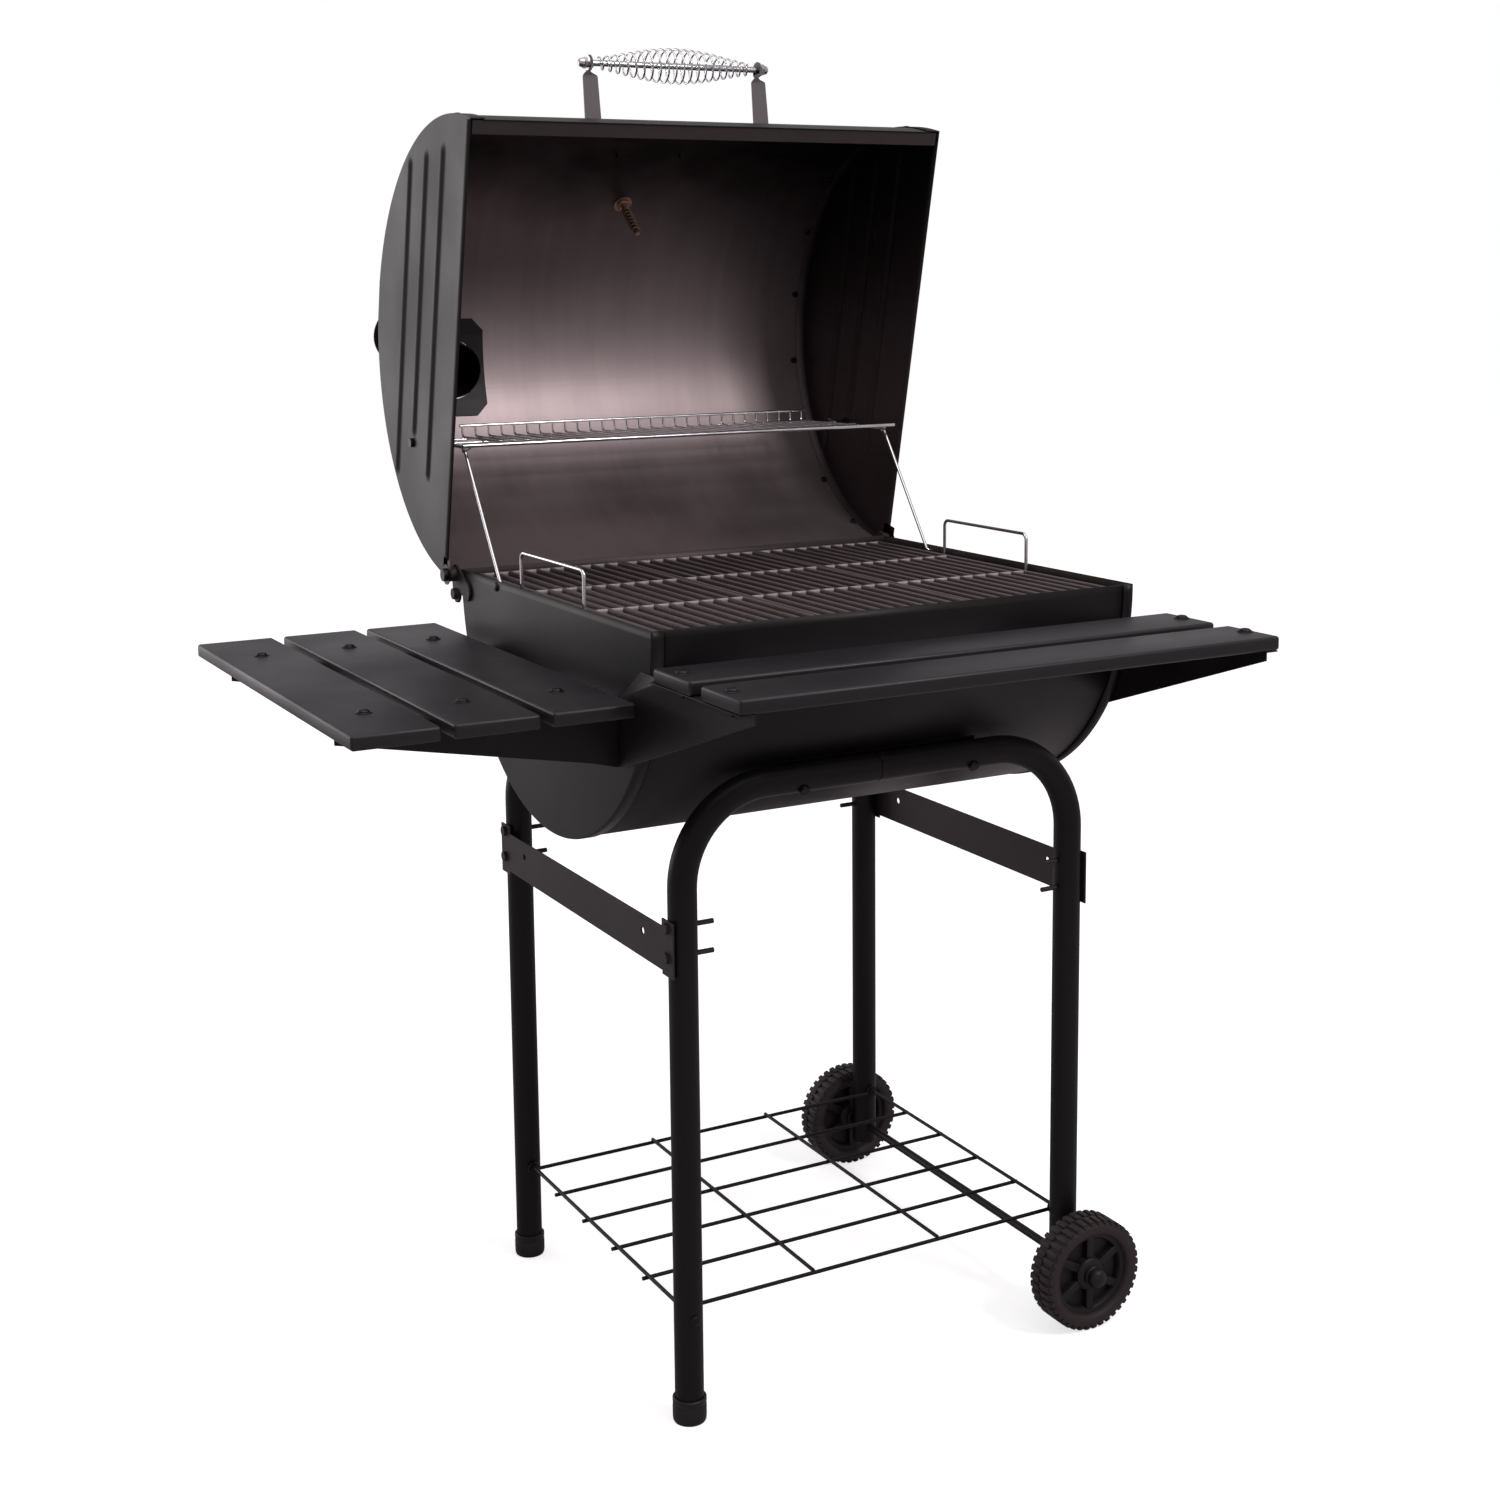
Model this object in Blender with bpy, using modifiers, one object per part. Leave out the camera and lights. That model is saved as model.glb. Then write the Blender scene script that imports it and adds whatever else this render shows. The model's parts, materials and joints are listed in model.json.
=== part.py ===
"""Barrel charcoal grill: a half-barrel firebox on a tube cart, shown with its lid open.

Metres, +Z up, X to the right of the person cooking, -Y toward them. The design is laid out
around the middle of the four legs; the root empty then moves it over the centre of its box.
"""

from math import asin, atan2, cos, pi, radians, sin, sqrt

import bmesh
import bpy
from mathutils import Matrix, Vector

# ---------------------------------------------------------------- driving dimensions
GAP = 0.0004  # between touching pieces

TUBE_RADIUS = 0.015875
TUBE_WALL = 0.0015
LEG_X = 0.250
LEG_Y = 0.225
FRAME_TOP = 0.696  # centreline of the cross tubes
BEND_RADIUS = 0.102
SEAM_X = -0.012
RIGHT_LEG_FOOT = 0.045
STRAP_TOP = 0.5535
STRAP_HEIGHT = 0.048
STRAP_THICK = 0.002

WHEEL_RADIUS = 0.0665
WHEEL_WIDTH = 0.040
WHEEL_Y = 0.268
AXLE_RADIUS = 0.005
FOOT_HEIGHT = 0.028

RACK_HEIGHT = 0.120
RACK_HALF_Y = 0.2055
RACK_WIRE = 0.00225

BARREL_RADIUS = 0.264
BARREL_Y = -0.007
BARREL_Z = 0.876
RIM_Z = 0.879
SHEET = 0.001
SHELL_HALF_X = 0.3015
END_X = 0.3035  # outer face of the firebox ends

LID_RADIUS = 0.277
LID_HALF_X = 0.318
LID_SKIRT = 0.013  # straight sides below the half circle
LID_OPEN_ANGLE = radians(77.3)
LID_AXIS_Y = 0.270
LID_AXIS_Z = 0.872
LID_CENTRE_Y = -0.2745  # of the half circle, from the lid's axis
LID_CENTRE_Z = 0.011
HINGE_HEAD_X = 0.3235  # outer face of a hinge pin's head

GRATE_TOP = 0.8745
GRATE_THICK = 0.010
GRATE_WIDTH = 0.190
GRATE_PITCH = 0.192
GRATE_HALF_Y = 0.2515
GRATE_BARS = 11

COAL_Z = 0.735
COAL_HALF_X = 0.289
HANDLE_TOP = 0.917
HANDLE_X = 0.2915
HANDLE_HALF_Y = 0.088

LINK_X = 0.2975  # plane of the warming rack's legs
LINK_DEPTH = 0.128  # between the two pivots at each level
RACK_PIVOT_Y = 0.378
RACK_PIVOT_Z = 1.026

SIDE_SHELF_Z = 0.810
SIDE_SHELF_X = (-0.6175, -0.3245)
SIDE_SHELF_Y = (-0.280, 0.296)
SIDE_BRACKET_Y = 0.190
FRONT_SHELF_Z = 0.850
FRONT_SHELF_HALF_X = 0.321
FRONT_SLATS_Y = ((-0.390, -0.310), (-0.492, -0.412))
SLAT_THICK = 0.015

CHIMNEY_X = -0.222
CHIMNEY_Y = -0.185
CHIMNEY_RADIUS = 0.037
CHIMNEY_TOP = 0.455
CAP_RADIUS = 0.043

GRIP_HALF_X = 0.117
GRIP_ANGLE = radians(160.3)
GRIP_REACH = 0.073
COIL_RADIUS = 0.021
COIL_END = 0.0068  # radius of the first and last turn
COIL_TURNS = 20

GAUGE_ANGLE = radians(119.3)
VENT_Z = 0.700
VENT_RADIUS = 0.050
VENT_PITCH = 0.028  # of the three air holes round the middle
VENT_HOLE = 0.010


# ---------------------------------------------------------------- scene and materials
for old in list(bpy.data.objects):
    bpy.data.objects.remove(old, do_unlink=True)

parts = bpy.data.collections.new("barrel_grill")
bpy.context.scene.collection.children.link(parts)


def paint(name, colour, roughness, metallic):
    made = bpy.data.materials.new(name)
    made.use_nodes = True
    shader = made.node_tree.nodes["Principled BSDF"]
    shader.inputs["Base Color"].default_value = (*colour, 1.0)
    shader.inputs["Roughness"].default_value = roughness
    shader.inputs["Metallic"].default_value = metallic
    return made


COAT = paint("black_powder_coat", (0.035, 0.034, 0.036), 0.55, 0.0)
STEEL = paint("seasoned_steel", (0.10, 0.09, 0.09), 0.45, 1.0)
IRON = paint("cast_iron", (0.09, 0.075, 0.07), 0.7, 0.3)
CHROME = paint("chrome_wire", (0.75, 0.75, 0.76), 0.18, 1.0)
WOOD = paint("black_stained_wood", (0.03, 0.03, 0.034), 0.4, 0.0)
PLASTIC = paint("black_plastic", (0.03, 0.027, 0.026), 0.5, 0.0)
RUBBER = paint("wheel_plastic", (0.05, 0.042, 0.04), 0.65, 0.0)
ZINC = paint("zinc_plate", (0.55, 0.55, 0.55), 0.3, 1.0)
RED = paint("needle_red", (0.5, 0.02, 0.02), 0.4, 0.0)


def empty(name, place, turn=0.0, parent=None):
    """A pivot: its X axis is the joint's axis where the joint turns about X."""
    made = bpy.data.objects.new(name, None)
    parts.objects.link(made)
    made.location = place
    made.rotation_euler = (turn, 0.0, 0.0)
    made.parent = parent
    return made


# ---------------------------------------------------------------- helpers for shapes
def mesh_object(name, bm):
    bmesh.ops.recalc_face_normals(bm, faces=bm.faces)
    mesh = bpy.data.meshes.new(name)
    bm.to_mesh(mesh)
    bm.free()
    made = bpy.data.objects.new(name, mesh)
    parts.objects.link(made)
    return made


def evaluated(made):
    """The object with its modifiers or its curve bevel made real, as a plain mesh object."""
    bpy.context.view_layer.update()
    graph = bpy.context.evaluated_depsgraph_get()
    mesh = bpy.data.meshes.new_from_object(made.evaluated_get(graph))
    name = made.name
    bpy.data.objects.remove(made, do_unlink=True)
    plain = bpy.data.objects.new(name, mesh)
    parts.objects.link(plain)
    return plain


def moved(made, matrix):
    made.data.transform(matrix)
    return made


def at(x, y, z):
    return Matrix.Translation((x, y, z))


def box(x, y, z, name="box"):
    """A box between (low, high) pairs along each axis."""
    bm = bmesh.new()
    bmesh.ops.create_cube(bm, size=1.0)
    size = Vector((x[1] - x[0], y[1] - y[0], z[1] - z[0]))
    middle = Vector((x[0] + x[1], y[0] + y[1], z[0] + z[1])) / 2
    bmesh.ops.scale(bm, vec=size, verts=bm.verts)
    bmesh.ops.translate(bm, vec=middle, verts=bm.verts)
    return mesh_object(name, bm)


def rod(start, end, radius, sides=16, name="rod", end_radius=None):
    """A straight round bar between two points; a cone where end_radius is given."""
    start, end = Vector(start), Vector(end)
    along = end - start
    bm = bmesh.new()
    bmesh.ops.create_cone(
        bm,
        cap_ends=True,
        segments=sides,
        radius1=radius,
        radius2=radius if end_radius is None else end_radius,
        depth=along.length,
    )
    turn = along.to_track_quat("Z", "Y").to_matrix().to_4x4()
    bmesh.ops.transform(bm, matrix=Matrix.Translation((start + end) / 2) @ turn, verts=bm.verts)
    return mesh_object(name, bm)


def rounded(points, radius, steps=4):
    """The polyline with each inner corner swept by an arc."""
    points = [Vector(p) for p in points]
    made = [points[0]]
    for before, corner, after in zip(points, points[1:], points[2:]):
        into, out = (before - corner).normalized(), (after - corner).normalized()
        half = into.angle(out) / 2
        centre = corner + (into + out).normalized() * radius / sin(half)
        first = corner + into * radius / (sin(half) / cos(half)) - centre
        last = corner + out * radius / (sin(half) / cos(half)) - centre
        for step in range(steps + 1):
            swept = first.normalized().slerp(last.normalized(), step / steps)
            made.append(centre + swept * radius)
    return made + [points[-1]]


def wire(points, radius, resolution=1, caps=True, name="wire"):
    """A round wire or tube along the points; 4 sides and 2 more for each step of resolution."""
    curve = bpy.data.curves.new(name, "CURVE")
    curve.dimensions = "3D"
    curve.bevel_depth = radius
    curve.bevel_resolution = resolution
    curve.use_fill_caps = caps
    spline = curve.splines.new("POLY")
    spline.points.add(len(points) - 1)
    for point, place in zip(spline.points, points):
        point.co = (*place, 1.0)
    made = bpy.data.objects.new(name, curve)
    parts.objects.link(made)
    plain = evaluated(made)
    bm = bmesh.new()
    bm.from_mesh(plain.data)
    bmesh.ops.remove_doubles(bm, verts=bm.verts, dist=1e-6)
    bm.to_mesh(plain.data)
    bm.free()
    return plain


def thickened(made, thickness, offset):
    solid = made.modifiers.new("wall", "SOLIDIFY")
    solid.thickness = thickness
    solid.offset = offset
    solid.use_even_offset = True
    return evaluated(made)


def combined(name, operation, base, others):
    """The base joined with, or cut by, the other pieces."""
    group = bpy.data.collections.new(name + "_cutters")
    bpy.context.scene.collection.children.link(group)
    for other in others:
        parts.objects.unlink(other)
        group.objects.link(other)
        other.hide_render = True
        other.display_type = "WIRE"
    step = base.modifiers.new("solid", "BOOLEAN")
    step.operation = operation
    step.solver = "EXACT"
    step.operand_type = "COLLECTION"
    step.collection = group
    made = evaluated(base)
    for other in others:
        bpy.data.objects.remove(other, do_unlink=True)
    bpy.data.collections.remove(group)
    made.name = name
    return made


def joined(name, pieces):
    return combined(name, "UNION", pieces[0], pieces[1:])


def cut(name, base, *cutters):
    return combined(name, "DIFFERENCE", base, cutters)


def finished(made, name, material, parent):
    """Names a finished piece, paints it and hangs it on its body's empty."""
    made.name = name
    made.data.name = name
    made.data.materials.clear()
    made.data.materials.append(material)
    made.data.shade_smooth()
    made.data.set_sharp_from_angle(angle=radians(35))
    made.parent = parent
    return made


def arc(centre, radius, start, end, steps):
    """Points (y, z) on an arc, in radians from +Y toward +Z."""
    turn = (end - start) / steps
    return [
        (centre[0] + radius * cos(start + turn * i), centre[1] + radius * sin(start + turn * i))
        for i in range(steps + 1)
    ]


def sheet(outline, low_x, high_x, thickness, offset=-1.0):
    """A bent plate: the (y, z) outline drawn out along X."""
    bm = bmesh.new()
    verts = [bm.verts.new((low_x, y, z)) for y, z in outline]
    edges = [bm.edges.new(pair) for pair in zip(verts, verts[1:])]
    grown = bmesh.ops.extrude_edge_only(bm, edges=edges)["geom"]
    moving = [item for item in grown if isinstance(item, bmesh.types.BMVert)]
    bmesh.ops.translate(bm, vec=(high_x - low_x, 0, 0), verts=moving)
    return thickened(mesh_object("sheet", bm), thickness, offset)


def plate(outline, axis, low, high):
    """A flat plate with this outline, thick along the axis: (y, z), (x, z) or (x, y) points."""
    bm = bmesh.new()
    place = {
        "x": lambda a, b: (low, a, b),
        "y": lambda a, b: (a, low, b),
        "z": lambda a, b: (a, b, low),
    }[axis]
    face = bm.faces.new([bm.verts.new(place(a, b)) for a, b in outline])
    grown = bmesh.ops.extrude_face_region(bm, geom=[face])["geom"]
    moving = [item for item in grown if isinstance(item, bmesh.types.BMVert)]
    step = {"x": (high - low, 0, 0), "y": (0, high - low, 0), "z": (0, 0, high - low)}[axis]
    bmesh.ops.translate(bm, vec=step, verts=moving)
    return mesh_object("plate", bm)


def turned(profile, steps=24, closed=False, name="turned"):
    """A solid of revolution about Z from (radius, z) points."""
    bm = bmesh.new()
    verts = [bm.verts.new((r, 0, z)) for r, z in profile]
    ends = list(zip(verts, verts[1:])) + ([(verts[-1], verts[0])] if closed else [])
    for pair in ends:
        bm.edges.new(pair)
    mesh = bpy.data.meshes.new(name)
    bm.to_mesh(mesh)
    bm.free()
    made = bpy.data.objects.new(name, mesh)
    parts.objects.link(made)
    screw = made.modifiers.new("turn", "SCREW")
    screw.steps = screw.render_steps = steps
    screw.use_merge_vertices = True
    screw.merge_threshold = 0.00001
    plain = evaluated(made)
    bm = bmesh.new()
    bm.from_mesh(plain.data)
    bmesh.ops.recalc_face_normals(bm, faces=bm.faces)
    bm.to_mesh(plain.data)
    bm.free()
    return plain


def capsule(start, end, radius, steps=5):
    """The outline of a slot between two points in a plane."""
    lean = atan2(end[1] - start[1], end[0] - start[0])
    return arc(end, radius, lean - pi / 2, lean + pi / 2, steps) + arc(
        start, radius, lean + pi / 2, lean + 3 * pi / 2, steps
    )


def end_pan(outline, flange, face_x, depth):
    """A barrel end: a flat plate whose flange runs along part of the outline."""
    bm = bmesh.new()
    verts = [bm.verts.new((face_x, y, z)) for y, z in outline]
    bm.faces.new(verts)
    edges = [bm.edges.get(pair) for pair in zip(verts[flange[0]:], verts[flange[0] + 1:flange[1]])]
    grown = bmesh.ops.extrude_edge_only(bm, edges=edges)["geom"]
    moving = [item for item in grown if isinstance(item, bmesh.types.BMVert)]
    bmesh.ops.translate(bm, vec=(-depth if face_x > 0 else depth, 0, 0), verts=moving)
    return thickened(mesh_object("pan", bm), SHEET, -1.0)


# ---------------------------------------------------------------- bodies
open_turn = -LID_OPEN_ANGLE
LUG_Y = CHIMNEY_Y + CHIMNEY_RADIUS + 0.005  # axis of the chimney cap's pin
PIN_TOP = 0.005
CAP_PIN_RADIUS = 0.0018
PIN_CORNER = (LUG_Y + CAP_PIN_RADIUS, CHIMNEY_TOP + PIN_TOP)  # furthest back with the lid open
BACK_Y = LID_AXIS_Y + PIN_CORNER[0] * cos(open_turn) - PIN_CORNER[1] * sin(open_turn)
FRONT_Y = FRONT_SLATS_Y[1][0]
CENTRE = ((SIDE_SHELF_X[0] + HINGE_HEAD_X) / 2, (FRONT_Y + BACK_Y) / 2)

grill = empty("grill", (-CENTRE[0], -CENTRE[1], 0))
lid = empty("lid_axis", (0, LID_AXIS_Y, LID_AXIS_Z), open_turn, grill)
rack_axis = empty("warming_rack_axis", (0, RACK_PIVOT_Y, RACK_PIVOT_Z), 0, grill)
LEG_BASE = (LID_AXIS_Y - LINK_DEPTH, LID_AXIS_Z)
link_axis = empty("rack_leg_axis", (0, *LEG_BASE), 0, grill)
coal_axis = empty("charcoal_tray_slide", (0, BARREL_Y, COAL_Z), 0, grill)


# ---------------------------------------------------------------- tube cart
def saddle_direction(side):
    """From the barrel's middle out through a cross tube, in (y, z)."""
    reach = Vector((side * LEG_Y - BARREL_Y, FRAME_TOP - BARREL_Z))
    return reach.normalized()


SADDLE_X = 0.109
RACK_BOLT_RADIUS = 0.003
STRAP_BOLT_RADIUS = 0.003
STRAP_BOLTS_Z = (STRAP_TOP + 0.001, STRAP_TOP - STRAP_HEIGHT - 0.001 + 0.018)


def cart_tube(name, side_x, side_y):
    """A leg that bends over and runs under the barrel to the middle seam."""
    foot = 0.0035 if side_x < 0 else RIGHT_LEG_FOOT
    seam = SEAM_X + side_x * 0.0003
    x, y = side_x * LEG_X, side_y * LEG_Y
    line = rounded([(x, y, foot), (x, y, FRAME_TOP), (seam, y, FRAME_TOP)], BEND_RADIUS, 5)
    tube = thickened(wire(line, TUBE_RADIUS, 4, caps=False), TUBE_WALL, -1.0)
    holes = [
        rod((x - 0.03, y, z), (x + 0.03, y, z), STRAP_BOLT_RADIUS + GAP, 8) for z in STRAP_BOLTS_Z
    ]
    reach = RACK_BOLT_RADIUS + GAP
    holes.append(rod((x, y - 0.03, RACK_HEIGHT), (x, y + 0.03, RACK_HEIGHT), reach, 8))
    if side_x > 0:
        reach = AXLE_RADIUS + GAP
        holes.append(rod((x, y - 0.03, WHEEL_RADIUS), (x, y + 0.03, WHEEL_RADIUS), reach, 12))
    away = saddle_direction(side_y) * 0.03
    start = (side_x * SADDLE_X, y - away[0], FRAME_TOP - away[1])
    end = (side_x * SADDLE_X, y + away[0], FRAME_TOP + away[1])
    holes.append(rod(start, end, 0.003 + GAP, 8))
    finished(cut(name, tube, *holes), name, COAT, grill)


for side_y, depth in ((-1, "front"), (1, "rear")):
    for side_x, hand in ((-1, "left"), (1, "right")):
        cart_tube(f"cart_tube_{depth}_{hand}", side_x, side_y)


def saddle(name, side_y):
    """A strip between tube and barrel with a bolt through both at each end."""
    out = saddle_direction(side_y)
    lean = atan2(out[1], out[0])
    clear = sqrt((side_y * LEG_Y - BARREL_Y) ** 2 + (FRAME_TOP - BARREL_Z) ** 2)
    packing = (BARREL_RADIUS + 2 * GAP, clear - TUBE_RADIUS - 2 * GAP)
    strip = box((-0.125, 0.125), packing, (-0.009, 0.009))
    pieces = [strip]
    for x in (-SADDLE_X, SADDLE_X):
        inner, outer = BARREL_RADIUS - 0.0065, clear + TUBE_RADIUS + 0.004
        pieces.append(rod((x, inner, 0), (x, outer, 0), 0.003, 8))
        pieces.append(rod((x, outer - 0.0035, 0), (x, outer, 0), 0.0065, 12))
        pieces.append(rod((x, inner, 0), (x, inner + 0.005, 0), 0.0055, 6))
    made = joined(name, pieces)
    turn = Matrix.Rotation(lean, 4, "X")
    moved(made, at(0, BARREL_Y, BARREL_Z) @ turn)
    finished(made, name, COAT, grill)


saddle("saddle_front", -1)
saddle("saddle_rear", 1)


def strap(name, side_x):
    """A flat side brace with its four through bolts."""
    near = side_x * (LEG_X + TUBE_RADIUS + GAP)
    far = near + side_x * STRAP_THICK
    x = (min(near, far), max(near, far))
    low = STRAP_TOP - STRAP_HEIGHT
    pieces = [box(x, (-0.236, 0.236), (low, STRAP_TOP))]
    for side_y in (-1, 1):
        y = side_y * LEG_Y
        pieces.append(box(x, (y - 0.013, y + 0.013), (low - 0.004, STRAP_TOP + 0.009)))
        for z in STRAP_BOLTS_Z:
            head, tail = far + side_x * 0.004, side_x * (LEG_X - 0.036)
            pieces.append(rod((head, y, z), (tail, y, z), STRAP_BOLT_RADIUS, 8))
            pieces.append(rod((head, y, z), (head - side_x * 0.0045, y, z), 0.0062, 12))
    made = joined(name, pieces)
    holes = []
    for y in (-0.165, 0.165):
        holes.append(rod((x[0] - 0.01, y, low + 0.03), (x[1] + 0.01, y, low + 0.03), 0.0042, 10))
    finished(cut(name, made, *holes), name, COAT, grill)


strap("side_strap_left", -1)
strap("side_strap_right", 1)


def lower_rack():
    """Six wires across and four along, with an eye and a bolt at each leg."""
    pieces = []
    for i in range(6):
        y = RACK_HALF_Y * (1 - 2 * i / 5)
        reach = LEG_X + 0.006
        level = RACK_HEIGHT - RACK_WIRE * 0.8
        pieces.append(wire([(-reach, y, level), (reach, y, level)], RACK_WIRE))
    for i in range(4):
        x = LEG_X * (1 - 2 * i / 3)
        level = RACK_HEIGHT + RACK_WIRE * 0.8
        pieces.append(wire([(x, -RACK_HALF_Y, level), (x, RACK_HALF_Y, level)], RACK_WIRE))
    for side_x in (-1, 1):
        for side_y in (-1, 1):
            x, y = side_x * LEG_X, side_y * RACK_HALF_Y
            outer = side_y * (LEG_Y + TUBE_RADIUS)
            stages = (
                (y - side_y * 0.002, y + side_y * 0.0025, 0.008, 12),  # eye
                (y, outer + side_y * 0.003, RACK_BOLT_RADIUS, 8),
                (outer + side_y * GAP, outer + side_y * 0.004, 0.006, 12),  # bolt head
            )
            for near, far, radius, sides in stages:
                start, end = (x, near, RACK_HEIGHT), (x, far, RACK_HEIGHT)
                pieces.append(rod(start, end, radius, sides))
    finished(joined("lower_rack", pieces), "lower_rack", COAT, grill)


lower_rack()


# ---------------------------------------------------------------- wheels and feet
def upright_turn(made, side_y, y, x=LEG_X, z=WHEEL_RADIUS):
    """Lays a piece turned about Z along Y, its top facing away from the cart."""
    return moved(made, at(x, y, z) @ Matrix.Rotation(-side_y * pi / 2, 4, "X"))


def wheel(name, side_y):
    half = WHEEL_WIDTH / 2
    bore = AXLE_RADIUS + GAP
    tread = WHEEL_RADIUS
    profile = [
        (bore, half), (0.019, half), (0.019, 0.010), (0.047, 0.008), (0.047, half - 0.003),
        (tread - 0.005, half), (tread, half - 0.006), (tread, -half + 0.006),
        (tread - 0.005, -half), (0.047, -half + 0.003), (0.047, -0.008), (0.019, -0.010),
        (0.019, -half), (bore, -half),
    ]
    hub = empty(name + "_axis", (LEG_X, side_y * WHEEL_Y, WHEEL_RADIUS), 0, grill)
    made = turned(profile, 26, closed=True)
    moved(made, Matrix.Rotation(-side_y * pi / 2, 4, "X"))
    finished(made, name, RUBBER, hub)


AXLE_HALF = WHEEL_Y + WHEEL_WIDTH / 2 + 0.008
axle = rod((LEG_X, -AXLE_HALF, WHEEL_RADIUS), (LEG_X, AXLE_HALF, WHEEL_RADIUS), AXLE_RADIUS, 16)
finished(axle, "axle", COAT, grill)
for side_y, depth in ((-1, "front"), (1, "rear")):
    wheel(f"wheel_{depth}", side_y)
    inside = AXLE_RADIUS + GAP
    profile = [
        (inside, 0.0), (0.0115, 0.0), (0.0115, 0.006), (0.009, 0.0105), (0.0, 0.012),
        (0.0, 0.009), (inside, 0.009),
    ]
    cap = turned(profile, 20, closed=False)
    cap_mesh = bmesh.new()
    cap_mesh.from_mesh(cap.data)
    open_ends = [edge for edge in cap_mesh.edges if edge.is_boundary]
    bmesh.ops.bridge_loops(cap_mesh, edges=open_ends)
    bmesh.ops.recalc_face_normals(cap_mesh, faces=cap_mesh.faces)
    cap_mesh.to_mesh(cap.data)
    cap_mesh.free()
    upright_turn(cap, side_y, side_y * (WHEEL_Y + WHEEL_WIDTH / 2 + GAP))
    finished(cap, f"hub_cap_{depth}", PLASTIC, grill)
    inner = TUBE_RADIUS + GAP
    profile = [
        (0.0, 0.003), (inner, 0.003), (inner, FOOT_HEIGHT), (0.0182, FOOT_HEIGHT),
        (0.0186, 0.002), (0.017, 0.0), (0.0, 0.0),
    ]
    foot = turned(profile, 20)
    moved(foot, at(-LEG_X, side_y * LEG_Y, 0))
    finished(foot, f"foot_cap_{depth}", PLASTIC, grill)


# ---------------------------------------------------------------- firebox
def barrel():
    """The lower half: a rolled sheet open at the top."""
    lift = asin((RIM_Z - BARREL_Z) / BARREL_RADIUS)
    outline = arc((BARREL_Y, BARREL_Z), BARREL_RADIUS, pi - lift, 2 * pi + lift, 28)
    shell = sheet(outline, -SHELL_HALF_X + 0.0008, SHELL_HALF_X - 0.0008, SHEET, -1.0)
    holes = []
    for side_y in (-1, 1):
        out = saddle_direction(side_y)
        for x in (-SADDLE_X, SADDLE_X):
            near, far = out * (BARREL_RADIUS - 0.01), out * (BARREL_RADIUS + 0.01)
            start = (x, BARREL_Y + near[0], BARREL_Z + near[1])
            holes.append(rod(start, (x, BARREL_Y + far[0], BARREL_Z + far[1]), 0.0035, 8))
    finished(cut("barrel_shell", shell, *holes), "barrel_shell", COAT, grill)
    pan_radius = BARREL_RADIUS + 0.0015
    lift = asin((RIM_Z - BARREL_Z) / pan_radius)
    outline = arc((BARREL_Y, BARREL_Z), pan_radius, pi - lift, 2 * pi + lift, 28)
    vents = [
        (BARREL_Y + VENT_PITCH * cos(turn), VENT_Z + VENT_PITCH * sin(turn))
        for turn in (pi / 2, pi * 7 / 6, pi * 11 / 6)
    ]
    for side_x, hand in ((-1, "left"), (1, "right")):
        face = side_x * END_X
        pan = end_pan(outline, (0, len(outline)), face, 0.014)
        holes = [rod((face - 0.01, *LEG_BASE), (face + 0.01, *LEG_BASE), 0.0026, 8)]
        if side_x > 0:
            start, end = (face - 0.01, BARREL_Y, VENT_Z), (face + 0.01, BARREL_Y, VENT_Z)
            holes.append(rod(start, end, 0.0035, 8))
            for y, z in vents:
                holes.append(rod((face - 0.01, y, z), (face + 0.01, y, z), VENT_HOLE, 12))
        name = f"barrel_end_{hand}"
        finished(cut(name, pan, *holes), name, COAT, grill)
    axis = empty("air_damper_axis", (END_X, BARREL_Y, VENT_Z), 0, grill)
    disc = rod((0.0012, 0, 0), (0.0026, 0, 0), VENT_RADIUS, 28)
    tab = box((0.0012, 0.012), (-0.008, 0.008), (-VENT_RADIUS - 0.006, -VENT_RADIUS + 0.002))
    stud = rod((-0.006, 0, 0), (0.005, 0, 0), 0.003, 8)
    head = rod((0.002, 0, 0), (0.005, 0, 0), 0.0065, 12)
    disc = joined("disc", [disc, tab, stud, head])
    slots = []
    for y, z in vents:
        across, up = y - BARREL_Y, z - VENT_Z
        slots.append(rod((-0.01, across, up), (0.01, across, up), VENT_HOLE, 12))
    finished(cut("air_damper", disc, *slots), "air_damper", COAT, axis)


barrel()


def grate_ledges():
    for side_y, depth in ((-1, "front"), (1, "rear")):
        wide, level = 0.2608, GRATE_TOP - GRATE_THICK - GAP
        inner = BARREL_Y + side_y * (wide - 0.020)
        outer = BARREL_Y + side_y * wide
        flat = box((-0.285, 0.285), sorted((inner, outer)), (level - 0.0015, level))
        wall = sorted((outer, outer - side_y * 0.0015))
        drop = box((-0.285, 0.285), wall, (level - 0.014, level))
        name = f"grate_ledge_{depth}"
        finished(joined(name, [flat, drop]), name, STEEL, grill)


grate_ledges()


def cooking_grates():
    """Three cast grates side by side, each with eleven bars and four cross ribs."""
    for place, hand in ((-1, "left"), (0, "middle"), (1, "right")):
        middle = place * GRATE_PITCH
        bar = 0.0062
        step = (GRATE_WIDTH - bar) / (GRATE_BARS - 1)
        bottom = -GRATE_THICK
        pieces = []
        end = GRATE_HALF_Y - 0.004
        for y in (-end, -end / 3, end / 3, end):
            half = GRATE_WIDTH / 2 - 0.001
            pieces.append(box((-half, half), (y - 0.0035, y + 0.0035), (bottom, 0)))
        for i in range(GRATE_BARS):
            x = -GRATE_WIDTH / 2 + bar / 2 + i * step
            pieces.append(box((x - bar / 2, x + bar / 2), (-GRATE_HALF_Y, GRATE_HALF_Y), (bottom, 0)))
        slide = empty(f"cooking_grate_{hand}_slide", (middle, BARREL_Y, GRATE_TOP), 0, grill)
        name = f"cooking_grate_{hand}"
        finished(joined(name, pieces), name, IRON, slide)


cooking_grates()


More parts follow.
